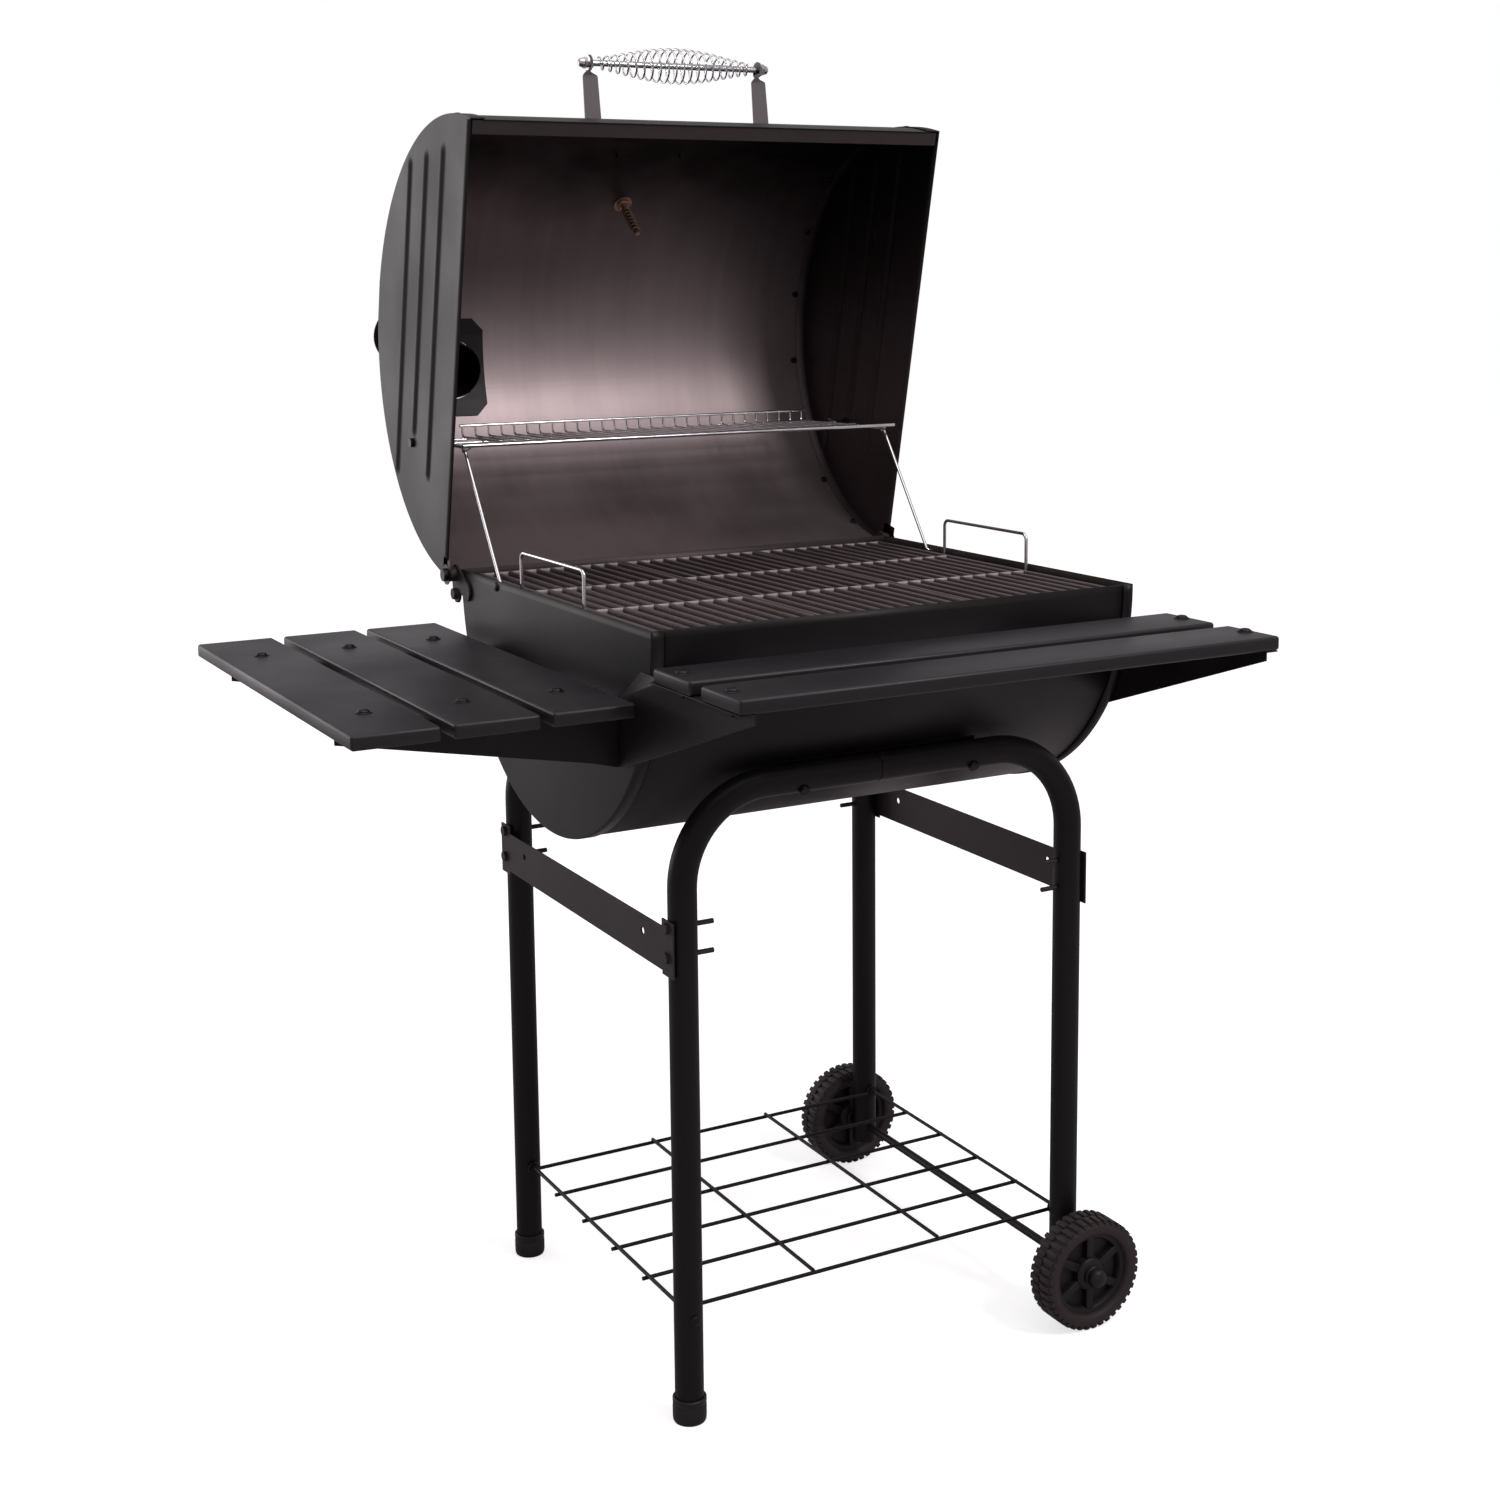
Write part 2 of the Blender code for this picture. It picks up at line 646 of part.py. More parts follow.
def charcoal_tray():
    """The wire coal grate, hung from two lift handles that stand above the rim."""
    pieces = []
    for side_x in (-1, 1):
        x = side_x * COAL_HALF_X
        pieces.append(box((x - 0.004, x + 0.004), (-0.165, 0.165), (-0.005, 0.005)))
    for i in range(11):
        y = -0.155 + 0.031 * i
        pieces.append(wire([(-COAL_HALF_X, y, 0), (COAL_HALF_X, y, 0)], 0.003, 0))
    for x in (-0.12, 0.12):
        pieces.append(box((x - 0.003, x + 0.003), (-0.160, 0.160), (-0.0055, -0.001)))
    finished(joined("charcoal_grate", pieces), "charcoal_grate", STEEL, coal_axis)
    foot, top = 0.005 + GAP, HANDLE_TOP - COAL_Z
    for side_x, hand in ((-1, "left"), (1, "right")):
        x = side_x * HANDLE_X
        middle = 0.012
        low, high = middle - HANDLE_HALF_Y, middle + HANDLE_HALF_Y
        line = rounded([(x, low, foot), (x, low, top), (x, high, top), (x, high, foot)], 0.008, 3)
        finished(wire(line, 0.002, 2), f"lift_handle_{hand}", CHROME, coal_axis)


charcoal_tray()


# ---------------------------------------------------------------- lid, drawn closed around its axis
LID_CENTRE = (LID_CENTRE_Y, LID_CENTRE_Z)
LID_EDGE_Z = LID_CENTRE_Z - LID_SKIRT
SHELL_RADIUS = LID_RADIUS - SHEET - 0.0005


def lid_point(radius, angle, x=0.0):
    """A point of the lid by its distance from the half circle's middle and its angle from +Y."""
    return (x, LID_CENTRE_Y + radius * cos(angle), LID_CENTRE_Z + radius * sin(angle))


def lid_outline(radius, steps):
    back = (LID_CENTRE_Y + radius, LID_EDGE_Z)
    front = (LID_CENTRE_Y - radius, LID_EDGE_Z)
    return [back] + arc(LID_CENTRE, radius, 0, pi, steps) + [front]


def lid_shell():
    shell = sheet(lid_outline(SHELL_RADIUS, 28), -0.3023, 0.3023, SHEET, -1.0)
    low, high = (CHIMNEY_X, CHIMNEY_Y, 0.20), (CHIMNEY_X, CHIMNEY_Y, 0.32)
    hole = rod(low, high, CHIMNEY_RADIUS + 0.0006, 24)
    inside, outside = LID_RADIUS - 0.017, LID_RADIUS + 0.013
    probe = rod(lid_point(inside, GAUGE_ANGLE), lid_point(outside, GAUGE_ANGLE), 0.0036, 10)
    bolts = []
    for x in (-GRIP_HALF_X, GRIP_HALF_X):
        start, end = lid_point(inside, GRIP_ANGLE, x), lid_point(outside, GRIP_ANGLE, x)
        bolts.append(rod(start, end, 0.0026, 8))
    finished(cut("lid_shell", shell, hole, probe, *bolts), "lid_shell", COAT, lid)


LID_RIBS = ((0.080, -0.105, -0.500), (0.135, -0.145, -0.483), (0.190, -0.080, -0.466))


def lid_ends():
    """Pressed ends with three stiffening ribs, an ear for the hinge pin and the rack's pivot."""
    outline = lid_outline(LID_RADIUS, 28)
    ear = [(0.0, 0.0), (-0.011, 0.0)]
    away_y, away_z = RACK_PIVOT_Y - LID_AXIS_Y, RACK_PIVOT_Z - LID_AXIS_Z
    rack_y = away_y * cos(open_turn) + away_z * sin(open_turn)
    rack_z = -away_y * sin(open_turn) + away_z * cos(open_turn)
    for side_x, hand in ((-1, "left"), (1, "right")):
        face = side_x * LID_HALF_X
        inside = face - side_x * SHEET
        pan = end_pan(outline, (4, len(outline)), face, 0.018)
        x = (min(face, inside), max(face, inside))
        pieces = [pan, plate(capsule(ear[0], ear[1], 0.0125), "x", *x)]
        for level, near, far in LID_RIBS:
            outline_rib = capsule((near, level), (far, level), 0.0055, 4)
            pieces.append(plate(outline_rib, "x", inside, face + side_x * 0.003))
        pan = joined("pan", pieces)
        pin = rod((face - 0.01, 0, 0), (face + 0.01, 0, 0), 0.0044, 12)
        pivot = rod((face - 0.01, rack_y, rack_z), (face + 0.01, rack_y, rack_z), 0.0029, 10)
        name = f"lid_end_{hand}"
        finished(cut(name, pan, pin, pivot), name, COAT, lid)
        eye_inner = side_x * (LINK_X - 0.006)
        bolt = rod((eye_inner - side_x * 0.003, 0, 0), (side_x * 0.3215, 0, 0), 0.0024, 10)
        head = rod((side_x * (LID_HALF_X + GAP), 0, 0), (side_x * 0.3220, 0, 0), 0.0058, 12)
        nut = rod((side_x * 0.3125, 0, 0), (side_x * (0.3170 - GAP), 0, 0), 0.0055, 6)
        tip_x = (eye_inner - side_x * 0.0048, eye_inner - side_x * 0.0027)
        tip = rod((tip_x[0], 0, 0), (tip_x[1], 0, 0), 0.0045, 10)
        bolt = joined("bolt", [bolt, head, nut, tip])
        moved(bolt, at(0, rack_y, rack_z))
        finished(bolt, f"rack_pivot_{hand}", ZINC, lid)


def lid_lip():
    """The folded strip along the free edge that comes down on the firebox rim."""
    near = LID_CENTRE_Y - SHELL_RADIUS + SHEET + GAP
    wall = box((-0.301, 0.301), (near, near + SHEET), (LID_EDGE_Z + 0.0015, LID_EDGE_Z + 0.012))
    flat = box((-0.301, 0.301), (near, near + 0.016), (LID_EDGE_Z + 0.0015, LID_EDGE_Z + 0.0025))
    finished(joined("lid_lip", [wall, flat]), "lid_lip", COAT, lid)


def hinges():
    for side_x, hand in ((-1, "left"), (1, "right")):
        face = side_x * (END_X + GAP)
        low, far = LID_AXIS_Z - 0.024, side_x * 0.3162
        reach = (LID_AXIS_Y, LID_AXIS_Z)
        x = sorted((face, face + side_x * 0.003))
        arm = plate(capsule((LID_AXIS_Y, LID_AXIS_Z), (0.235, low + 0.006), 0.0115), "x", *x)
        tail = plate(capsule(reach, (LID_AXIS_Y - 0.002, low), 0.0115), "x", *x)
        boss = rod((face, *reach), (far, *reach), 0.009, 16)
        lower = (LID_AXIS_Y - 0.002, low)
        bolt = rod((face + side_x * 0.002, *lower), (face + side_x * 0.008, *lower), 0.007, 12)
        bracket = joined("bracket", [arm, tail, boss, bolt])
        bore = rod((side_x * 0.305, *reach), (side_x * 0.32, *reach), 0.0044, 12)
        name = f"hinge_bracket_{hand}"
        finished(cut(name, bracket, bore), name, COAT, grill)
        pin = rod((side_x * 0.3054, *reach), (side_x * 0.3215, *reach), 0.004, 12)
        head = rod((side_x * (LID_HALF_X + GAP), *reach), (side_x * HINGE_HEAD_X, *reach), 0.008, 12)
        name = f"hinge_pin_{hand}"
        finished(joined(name, [pin, head]), name, ZINC, grill)


def chimney():
    bottom = 0.2565
    wall = [
        (CHIMNEY_RADIUS - SHEET, CHIMNEY_TOP), (CHIMNEY_RADIUS, CHIMNEY_TOP),
        (CHIMNEY_RADIUS, bottom), (CHIMNEY_RADIUS - SHEET, bottom),
    ]
    pipe = moved(turned(wall, 28, closed=True), at(CHIMNEY_X, CHIMNEY_Y, 0))
    lug_z = (CHIMNEY_TOP - 0.012, CHIMNEY_TOP - 0.001)
    lug = box((CHIMNEY_X - 0.005, CHIMNEY_X + 0.005), (LUG_Y - 0.0055, LUG_Y + 0.004), lug_z)
    pipe = joined("pipe", [pipe, lug])
    bore = rod((CHIMNEY_X, LUG_Y, lug_z[0] - 0.01), (CHIMNEY_X, LUG_Y, lug_z[1] + 0.01), 0.0022, 8)
    finished(cut("chimney_pipe", pipe, bore), "chimney_pipe", COAT, lid)
    middle = atan2(bottom + 0.016 - LID_CENTRE_Z, CHIMNEY_Y - LID_CENTRE_Y)
    spread = 0.065 / SHELL_RADIUS
    curve = arc(LID_CENTRE, SHELL_RADIUS - 2.2 * SHEET, middle - spread, middle + spread, 6)
    flange = sheet(curve, CHIMNEY_X - 0.046, CHIMNEY_X + 0.046, SHEET, -1.0)
    low, high = (CHIMNEY_X, CHIMNEY_Y, 0.20), (CHIMNEY_X, CHIMNEY_Y, 0.32)
    hole = rod(low, high, CHIMNEY_RADIUS + GAP, 28)
    finished(cut("chimney_flange", flange, hole), "chimney_flange", COAT, lid)
    swivel = empty("chimney_cap_axis", (CHIMNEY_X, LUG_Y, CHIMNEY_TOP), 0, lid)
    middle = -CHIMNEY_RADIUS - 0.005
    disc = rod((0, middle, 0.001), (0, middle, 0.003), CAP_RADIUS, 28)
    pin = rod((0, 0, -0.014), (0, 0, PIN_TOP), CAP_PIN_RADIUS, 8)
    foot = rod((0, 0, -0.0165), (0, 0, -0.013), 0.0035, 8)
    far = -2 * CHIMNEY_RADIUS
    knob = rod((0, far, 0.002), (0, far, 0.0065), 0.004, 10)
    arm = box((-0.005, 0.005), (-0.012, 0.004), (0.001, 0.003))
    finished(joined("chimney_cap", [disc, pin, foot, knob, arm]), "chimney_cap", COAT, swivel)


def grip():
    """Two straps, a bolt-ended rod and a spring wound round it to stay cool."""
    out = Matrix.Rotation(GRIP_ANGLE - pi / 2, 4, "X")
    lift = at(0, LID_CENTRE_Y, LID_CENTRE_Z) @ out
    base = SHELL_RADIUS + GAP
    for side_x, hand in ((-1, "left"), (1, "right")):
        x = side_x * GRIP_HALF_X
        blade_top = base + 0.063
        blade = [
            (x - 0.0105, base), (x + 0.0105, base),
            (x + 0.008, blade_top), (x - 0.008, blade_top),
        ]
        strap_piece = plate(blade, "y", -0.0015, 0.0015)
        foot = box((x - 0.0105, x + 0.0105), (-0.0015, 0.020), (base, base + 0.003))
        neck = box((x - 0.0015, x + 0.0015), (-0.008, 0.008), (base + 0.058, base + GRIP_REACH))
        tip = (0, base + GRIP_REACH + 0.010)
        ring = plate(capsule((0, base + GRIP_REACH), tip, 0.0095), "x", x - 0.0015, x + 0.0015)
        stud = rod((x, 0, base - 0.009), (x, 0, base + 0.002), 0.0022, 8)
        made = joined("strap", [strap_piece, foot, neck, ring, stud])
        level = base + GRIP_REACH
        bore = rod((x - 0.01, 0, level), (x + 0.01, 0, level), 0.0042, 12)
        name = f"handle_strap_{hand}"
        made = cut(name, made, bore)
        finished(moved(made, lift), name, COAT, lid)
    level = base + GRIP_REACH
    reach = GRIP_HALF_X + 0.0015 + GAP
    pieces = [rod((-reach - 0.006, 0, level), (reach + 0.006, 0, level), 0.0038, 12)]
    for side_x in (-1, 1):
        start, end = (side_x * reach, 0, level), (side_x * (reach + 0.006), 0, level)
        pieces.append(rod(start, end, 0.0075, 6))
        dome = (side_x * (reach + 0.0135), 0, level)
        pieces.append(rod((side_x * (reach + 0.005), 0, level), dome, 0.0068, 12, end_radius=0.003))
    rod_piece = joined("handle_rod", pieces)
    finished(moved(rod_piece, lift), "handle_rod", CHROME, lid)
    half = GRIP_HALF_X - 0.012
    points = []
    per_turn = 6
    for i in range(COIL_TURNS * per_turn + 1):
        t = i / (COIL_TURNS * per_turn)
        swell = COIL_END + (COIL_RADIUS - COIL_END) * sin(pi * t) ** 1.3
        turn = 2 * pi * i / per_turn
        points.append((-half + 2 * half * t, swell * cos(turn), level + swell * sin(turn)))
    finished(moved(wire(points, 0.0013, 0), lift), "handle_coil", CHROME, lid)


def thermometer():
    lift = at(0, LID_CENTRE_Y, LID_CENTRE_Z) @ Matrix.Rotation(GAUGE_ANGLE - pi / 2, 4, "X")
    base = SHELL_RADIUS + 0.0005
    profile = [
        (0.0, base), (0.022, base), (0.0245, base + 0.004), (0.0245, base + 0.013),
        (0.0215, base + 0.0135), (0.0215, base + 0.009), (0.0, base + 0.009),
    ]
    case = turned(profile, 28)
    finished(moved(case, lift), "thermometer_case", ZINC, lid)
    shaft = rod((0, 0, SHELL_RADIUS - 0.062), (0, 0, SHELL_RADIUS), 0.003, 10)
    nut_top = SHELL_RADIUS - 2.2 * SHEET
    nut = rod((0, 0, nut_top - 0.005), (0, 0, nut_top), 0.009, 6)
    finished(moved(joined("probe", [shaft, nut]), lift), "thermometer_probe", ZINC, lid)
    axis = empty("needle_axis", lift @ Vector((0, 0, base + 0.0094)), GAUGE_ANGLE - pi / 2, lid)
    blade = [(-0.0009, -0.005), (0.0009, -0.005), (0.0003, 0.0165), (-0.0003, 0.0165)]
    pointer = plate(blade, "z", 0.0, 0.0006)
    hub = rod((0, 0, 0), (0, 0, 0.0012), 0.002, 10)
    finished(joined("needle", [pointer, hub]), "thermometer_needle", RED, axis)


lid_shell()
lid_ends()
lid_lip()
hinges()
chimney()
grip()
thermometer()


# ---------------------------------------------------------------- warming rack and its legs
def warming_rack():
    """Level with its pivots: long wires bent up into a low fence at the back."""
    inner = LINK_X - 0.006
    front, back, top = -0.143, 0.007, 0.018
    overhang = inner + 0.0135
    pieces = []
    for side_x in (-1, 1):
        x = side_x * inner
        pieces.append(wire([(x, -LINK_DEPTH, 0), (x, 0, 0)], 0.002))
        eye = rod((x - 0.002, 0, 0), (x + 0.002, 0, 0), 0.0062, 14)
        pieces.append(eye)
        stub = side_x * (LINK_X + 0.003)
        pieces.append(rod((x, -LINK_DEPTH, 0), (stub, -LINK_DEPTH, 0), 0.002, 10))
        pieces.append(wire([(x, -LINK_DEPTH, 0), (x, front, 0.0045)], 0.002))
    pieces.append(wire([(-overhang, front, 0.0045), (overhang, front, 0.0045)], 0.0025))
    for y in (-0.066, -0.012):
        pieces.append(wire([(-inner, y, 0.0020), (inner, y, 0.0020)], 0.0017))
    rail = inner - 0.039
    pieces.append(wire([(-rail, back, top), (rail, back, top)], 0.002))
    count = 29
    for i in range(count):
        x = -rail + 0.004 + (2 * rail - 0.008) * i / (count - 1)
        pieces.append(wire([(x, front - 0.001, 0.0055), (x, back, 0.0035), (x, back, top)], 0.0013, 0))
    rack = joined("rack", pieces)
    bores = [rod((s * inner - 0.01, 0, 0), (s * inner + 0.01, 0, 0), 0.0028, 10) for s in (-1, 1)]
    finished(cut("warming_rack", rack, *bores), "warming_rack", CHROME, rack_axis)
    tilt = Vector((0, RACK_PIVOT_Y - LID_AXIS_Y, RACK_PIVOT_Z - LID_AXIS_Z))
    for side_x, hand in ((-1, "left"), (1, "right")):
        x = side_x * LINK_X
        along = tilt.normalized()
        line = [Vector((x, 0, 0)) + along * s for s in (0.0, tilt.length - 0.0042)]
        head = Vector((x, 0, 0)) + tilt
        ring = rod(head - Vector((0.0018, 0, 0)), head + Vector((0.0018, 0, 0)), 0.0058, 14)
        foot = rod((x - side_x * 0.001, 0, 0), (side_x * 0.3055, 0, 0), 0.002, 10)
        leg = joined("leg", [wire(line, 0.0018, 2), ring, foot])
        bore = rod(head - Vector((0.01, 0, 0)), head + Vector((0.01, 0, 0)), 0.0026, 10)
        name = f"rack_leg_{hand}"
        finished(cut(name, leg, bore), name, CHROME, link_axis)


warming_rack()


# ---------------------------------------------------------------- shelves
def eased_slat(name, x, y, top):
    slat = box(x, y, (top - SLAT_THICK, top))
    soft = slat.modifiers.new("soft edges", "BEVEL")
    soft.width = 0.0025
    soft.segments = 2
    finished(evaluated(slat), name, WOOD, grill)


def shelves():
    pitch = 0.013
    width = (SIDE_SHELF_X[1] - SIDE_SHELF_X[0] - 2 * pitch) / 3
    for i in range(3):
        low = SIDE_SHELF_X[0] + i * (width + pitch)
        eased_slat(f"side_slat_{i + 1}", (low, low + width), SIDE_SHELF_Y, SIDE_SHELF_Z)
    for i, y in enumerate(FRONT_SLATS_Y):
        x = (-FRONT_SHELF_HALF_X, FRONT_SHELF_HALF_X)
        eased_slat(f"front_slat_{i + 1}", x, y, FRONT_SHELF_Z)
    under = SIDE_SHELF_Z - SLAT_THICK - GAP
    wall, tip = -END_X - GAP, -0.606
    for side_y, depth in ((-1, "front"), (1, "rear")):
        y = side_y * SIDE_BRACKET_Y
        web = [
            (tip, under), (wall, under), (wall, 0.724), (-0.335, 0.732), (tip, under - 0.012),
        ]
        flange = sorted((y, y - side_y * 0.016))
        pieces = [plate(web, "y", y - 0.00075, y + 0.00075)]
        pieces.append(box((tip, wall), flange, (under - 0.0015, under)))
        pieces.append(box((wall - 0.0015, wall), flange, (0.726, under)))
        name = f"side_bracket_{depth}"
        finished(joined(name, pieces), name, COAT, grill)
    under = FRONT_SHELF_Z - SLAT_THICK - GAP
    for side_x, hand in ((-1, "left"), (1, "right")):
        near = side_x * (END_X + GAP)
        x = sorted((near, near + side_x * 0.0015))
        web = [
            (-0.490, under), (-0.490, under - 0.010), (-0.210, 0.728), (-0.200, 0.80), (-0.250, under),
        ]
        flange = sorted((near, side_x * (FRONT_SHELF_HALF_X - 0.001)))
        pieces = [plate(web, "x", *x)]
        pieces.append(box(flange, (-0.490, -0.300), (under - 0.0015, under)))
        name = f"front_bracket_{hand}"
        finished(joined(name, pieces), name, COAT, grill)


shelves()
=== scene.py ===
# %% [markdown]
# # Barrel charcoal grill
# A half-barrel firebox on a tube cart, with the lid swung open behind it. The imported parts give
# every size and pivot, so this lesson starts by loading them. Each visible piece is then built
# again with rolled edges, pressed ribs, treads and real surfaces, and rides on the body it
# belongs to, so it still opens, lifts, rolls and swings.

# %% Load the parts and keep their box
import json
from math import atan2, cos, pi, radians, sin, tan

import bmesh
import bpy
from mathutils import Matrix, Vector

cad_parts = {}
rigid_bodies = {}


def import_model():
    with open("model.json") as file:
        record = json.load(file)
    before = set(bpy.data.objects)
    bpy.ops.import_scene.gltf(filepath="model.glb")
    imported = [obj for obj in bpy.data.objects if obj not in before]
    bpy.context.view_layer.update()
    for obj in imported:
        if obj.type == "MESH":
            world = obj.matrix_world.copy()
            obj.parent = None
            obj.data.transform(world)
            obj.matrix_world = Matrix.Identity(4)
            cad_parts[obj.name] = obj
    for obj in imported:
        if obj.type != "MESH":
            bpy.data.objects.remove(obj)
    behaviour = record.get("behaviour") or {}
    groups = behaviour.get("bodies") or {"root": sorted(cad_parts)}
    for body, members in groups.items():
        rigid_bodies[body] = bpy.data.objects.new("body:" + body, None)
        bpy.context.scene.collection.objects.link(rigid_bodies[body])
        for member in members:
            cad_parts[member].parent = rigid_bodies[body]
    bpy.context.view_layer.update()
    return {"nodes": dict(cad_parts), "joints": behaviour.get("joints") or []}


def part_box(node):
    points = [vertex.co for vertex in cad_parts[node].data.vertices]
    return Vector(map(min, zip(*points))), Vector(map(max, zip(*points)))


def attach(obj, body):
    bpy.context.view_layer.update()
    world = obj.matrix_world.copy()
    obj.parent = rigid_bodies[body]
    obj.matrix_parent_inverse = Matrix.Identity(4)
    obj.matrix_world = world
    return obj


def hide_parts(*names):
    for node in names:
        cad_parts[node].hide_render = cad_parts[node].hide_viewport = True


for left_over in list(bpy.data.objects):
    bpy.data.objects.remove(left_over, do_unlink=True)
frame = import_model()

# %% [markdown]
# ## Two spaces to build in
# The cart is easiest to draw around the middle of its four legs, and the lid around its hinge
# with the lid shut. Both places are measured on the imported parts. A piece is modelled in one of
# these spaces and moved into place at the end, mesh and all, so its object stays at the origin.

# %% Measure the cart and the lid
JOINTS = {joint["name"]: joint for joint in frame["joints"]}
leg_low, leg_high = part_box("cart_tube_front_left")[0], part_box("cart_tube_rear_right")[1]
TUBE = 0.015875
LEG_X = (leg_high.x - leg_low.x) / 2 - TUBE
LEG_Y = (leg_high.y - leg_low.y) / 2 - TUBE
CART = Matrix.Translation(((leg_low.x + leg_high.x) / 2, (leg_low.y + leg_high.y) / 2, 0))
lean = Vector(JOINTS["chimney_cap_swivel"]["axis"])
OPEN = pi / 2 - atan2(lean.z, lean.y)
HINGE = Vector(JOINTS["lid_hinge"]["pos_m"])
LID = Matrix.Translation(HINGE) @ Matrix.Rotation(-OPEN, 4, "X")


def box_in(space, *nodes):
    """Lowest and highest corner of parts, measured in one of the two spaces."""
    back = space.inverted()
    points = [back @ vert.co for node in nodes for vert in frame["nodes"][node].data.vertices]
    low = Vector(min(p[i] for p in points) for i in range(3))
    high = Vector(max(p[i] for p in points) for i in range(3))
    return low, high


def pivot_in(space, joint):
    return space.inverted() @ Vector(JOINTS[joint]["pos_m"])


print(f"legs at {LEG_X:.3f}, {LEG_Y:.3f} m, lid open by {OPEN * 180 / pi:.1f} degrees")

# %% [markdown]
# ## Camera
# Someone standing ahead and to the left of the grill looks slightly down on it. A small upward
# shift of the lens keeps the legs close to upright, as an architect's camera would.

# %% Place the camera
camera = bpy.data.objects.new("camera", bpy.data.cameras.new("camera"))
bpy.context.scene.collection.objects.link(camera)
LENS_MM = 49.98
LENS_SHIFT = -0.12
camera.data.lens = LENS_MM
camera.data.shift_y = LENS_SHIFT
EYE = Vector((-1.191, -2.117, 1.229))
YAW, PITCH, ROLL = 0.4968, -0.1403, -0.0100
aim = Matrix.Rotation(-YAW, 4, "Z") @ Matrix.Rotation(pi / 2 + PITCH, 4, "X")
camera.matrix_world = CART @ Matrix.Translation(EYE) @ aim @ Matrix.Rotation(ROLL, 4, "Z")
camera.data.clip_end = 60
bpy.context.scene.camera = camera
print("camera at", [round(c, 3) for c in camera.matrix_world.translation])

# %% [markdown]
# ## Studio
# Black coated steel shows its shape only by what it reflects. The room and the floor look white
# to the camera, but light the grill with less than that, so the coat stays deep. Soft panels give
# the bright shapes: one ahead is mirrored low inside the lid, and one behind to the left lies
# along the lid's end. A single white world would be simpler, and would turn the black coat grey.

# %% White room, floor and soft panels
scene = bpy.context.scene
scene.view_settings.view_transform = "Standard"
WHITE = (1.0, 1.0, 1.0, 1.0)
ROOM_TINT, ROOM_GLOW = (1.0, 0.955, 0.985, 1.0), 0.42


def camera_sees(tree, lights_with, looks_like, end):
    """Ends a tree in one shader for the camera and another for every other ray."""
    either = tree.nodes.new("ShaderNodeMixShader")
    ray = tree.nodes.new("ShaderNodeLightPath")
    tree.links.new(ray.outputs["Is Camera Ray"], either.inputs[0])
    tree.links.new(lights_with.outputs[0], either.inputs[1])
    tree.links.new(looks_like.outputs[0], either.inputs[2])
    tree.links.new(either.outputs[0], tree.nodes[end].inputs["Surface"])


room = bpy.data.worlds.new("white_room")
room.use_nodes = True
glow = room.node_tree.nodes["Background"]
glow.inputs["Color"].default_value = ROOM_TINT
glow.inputs["Strength"].default_value = ROOM_GLOW
seen = room.node_tree.nodes.new("ShaderNodeBackground")
seen.inputs["Color"].default_value = WHITE
camera_sees(room.node_tree, glow, seen, "World Output")
scene.world = room


def panel(name, place, target, size, power, tint=(1.0, 1.0, 1.0)):
    """A soft rectangular light that faces a point of the cart."""
    light = bpy.data.lights.new(name, "AREA")
    light.shape = "RECTANGLE"
    light.size, light.size_y = size
    light.energy = power
    light.color = tint
    lamp = bpy.data.objects.new(name, light)
    scene.collection.objects.link(lamp)
    away = Vector(place) - Vector(target)
    lamp.matrix_world = CART @ Matrix.Translation(place) @ away.to_track_quat("Z", "Y").to_matrix().to_4x4()
    return lamp


panel("lid_panel", (1.10, -2.4, 2.9), (0, 0.3, 1.1), (0.6, 0.6), 32, (1.0, 0.93, 0.935))
panel("top_panel", (-0.4, -0.6, 3.2), (0, 0, 0.8), (2.4, 2.0), 24, (1.0, 0.96, 0.985))
panel("back_left_panel", (-2.6, 4.2, 1.4), (-0.3, 0.2, 1.1), (2.6, 2.6), 46, (1.0, 0.955, 0.99))


def plain(name, colour, roughness):
    """A material of one colour and one roughness."""
    look = bpy.data.materials.new(name)
    look.use_nodes = True
    shader = look.node_tree.nodes["Principled BSDF"]
    shader.inputs["Base Color"].default_value = (*colour, 1.0)
    shader.inputs["Roughness"].default_value = roughness
    return look


FLOOR_HALF = 12.0
FLOOR_GLOW = 0.66
FLOOR_BOUNCE = (0.62, 0.58, 0.59, 1.0)
ground = bmesh.new()
bmesh.ops.create_grid(ground, x_segments=1, y_segments=1, size=FLOOR_HALF)
floor_mesh = bpy.data.meshes.new("floor")
ground.to_mesh(floor_mesh)
ground.free()
floor = bpy.data.objects.new("floor", floor_mesh)
scene.collection.objects.link(floor)
pale = plain("pale_floor", (0.90, 0.90, 0.90), 0.9)
painted = pale.node_tree.nodes["Principled BSDF"]
painted.inputs["Emission Color"].default_value = WHITE
painted.inputs["Emission Strength"].default_value = FLOOR_GLOW
dim = pale.node_tree.nodes.new("ShaderNodeBsdfDiffuse")
dim.inputs["Color"].default_value = FLOOR_BOUNCE
camera_sees(pale.node_tree, dim, painted, "Material Output")
floor_mesh.materials.append(pale)
print("studio ready")

# %% [markdown]
# ## Surfaces
# Four small shader groups are shared by the finishes. The first gives a fine grain and slow
# patches, which break up any coated or moulded surface. The second draws long streaks, for
# rolled steel and for wood. The third tints faces that look up: a little dust on most finishes,
# a painted highlight on cast iron. The fourth gives how far up a piece a point lies, for the
# painted shade under the lid's crown.

# %% Group helper
def group(name, inputs, outputs):
    """A shader group with its sockets; returns the tree with its two end nodes."""
    tree = bpy.data.node_groups.new(name, "ShaderNodeTree")
    for label, kind, value in inputs:
        socket = tree.interface.new_socket(label, in_out="INPUT", socket_type=kind)
        socket.default_value = value
    for label in outputs:
        tree.interface.new_socket(label, in_out="OUTPUT", socket_type="NodeSocketFloat")
    return tree, tree.nodes.new("NodeGroupInput"), tree.nodes.new("NodeGroupOutput")


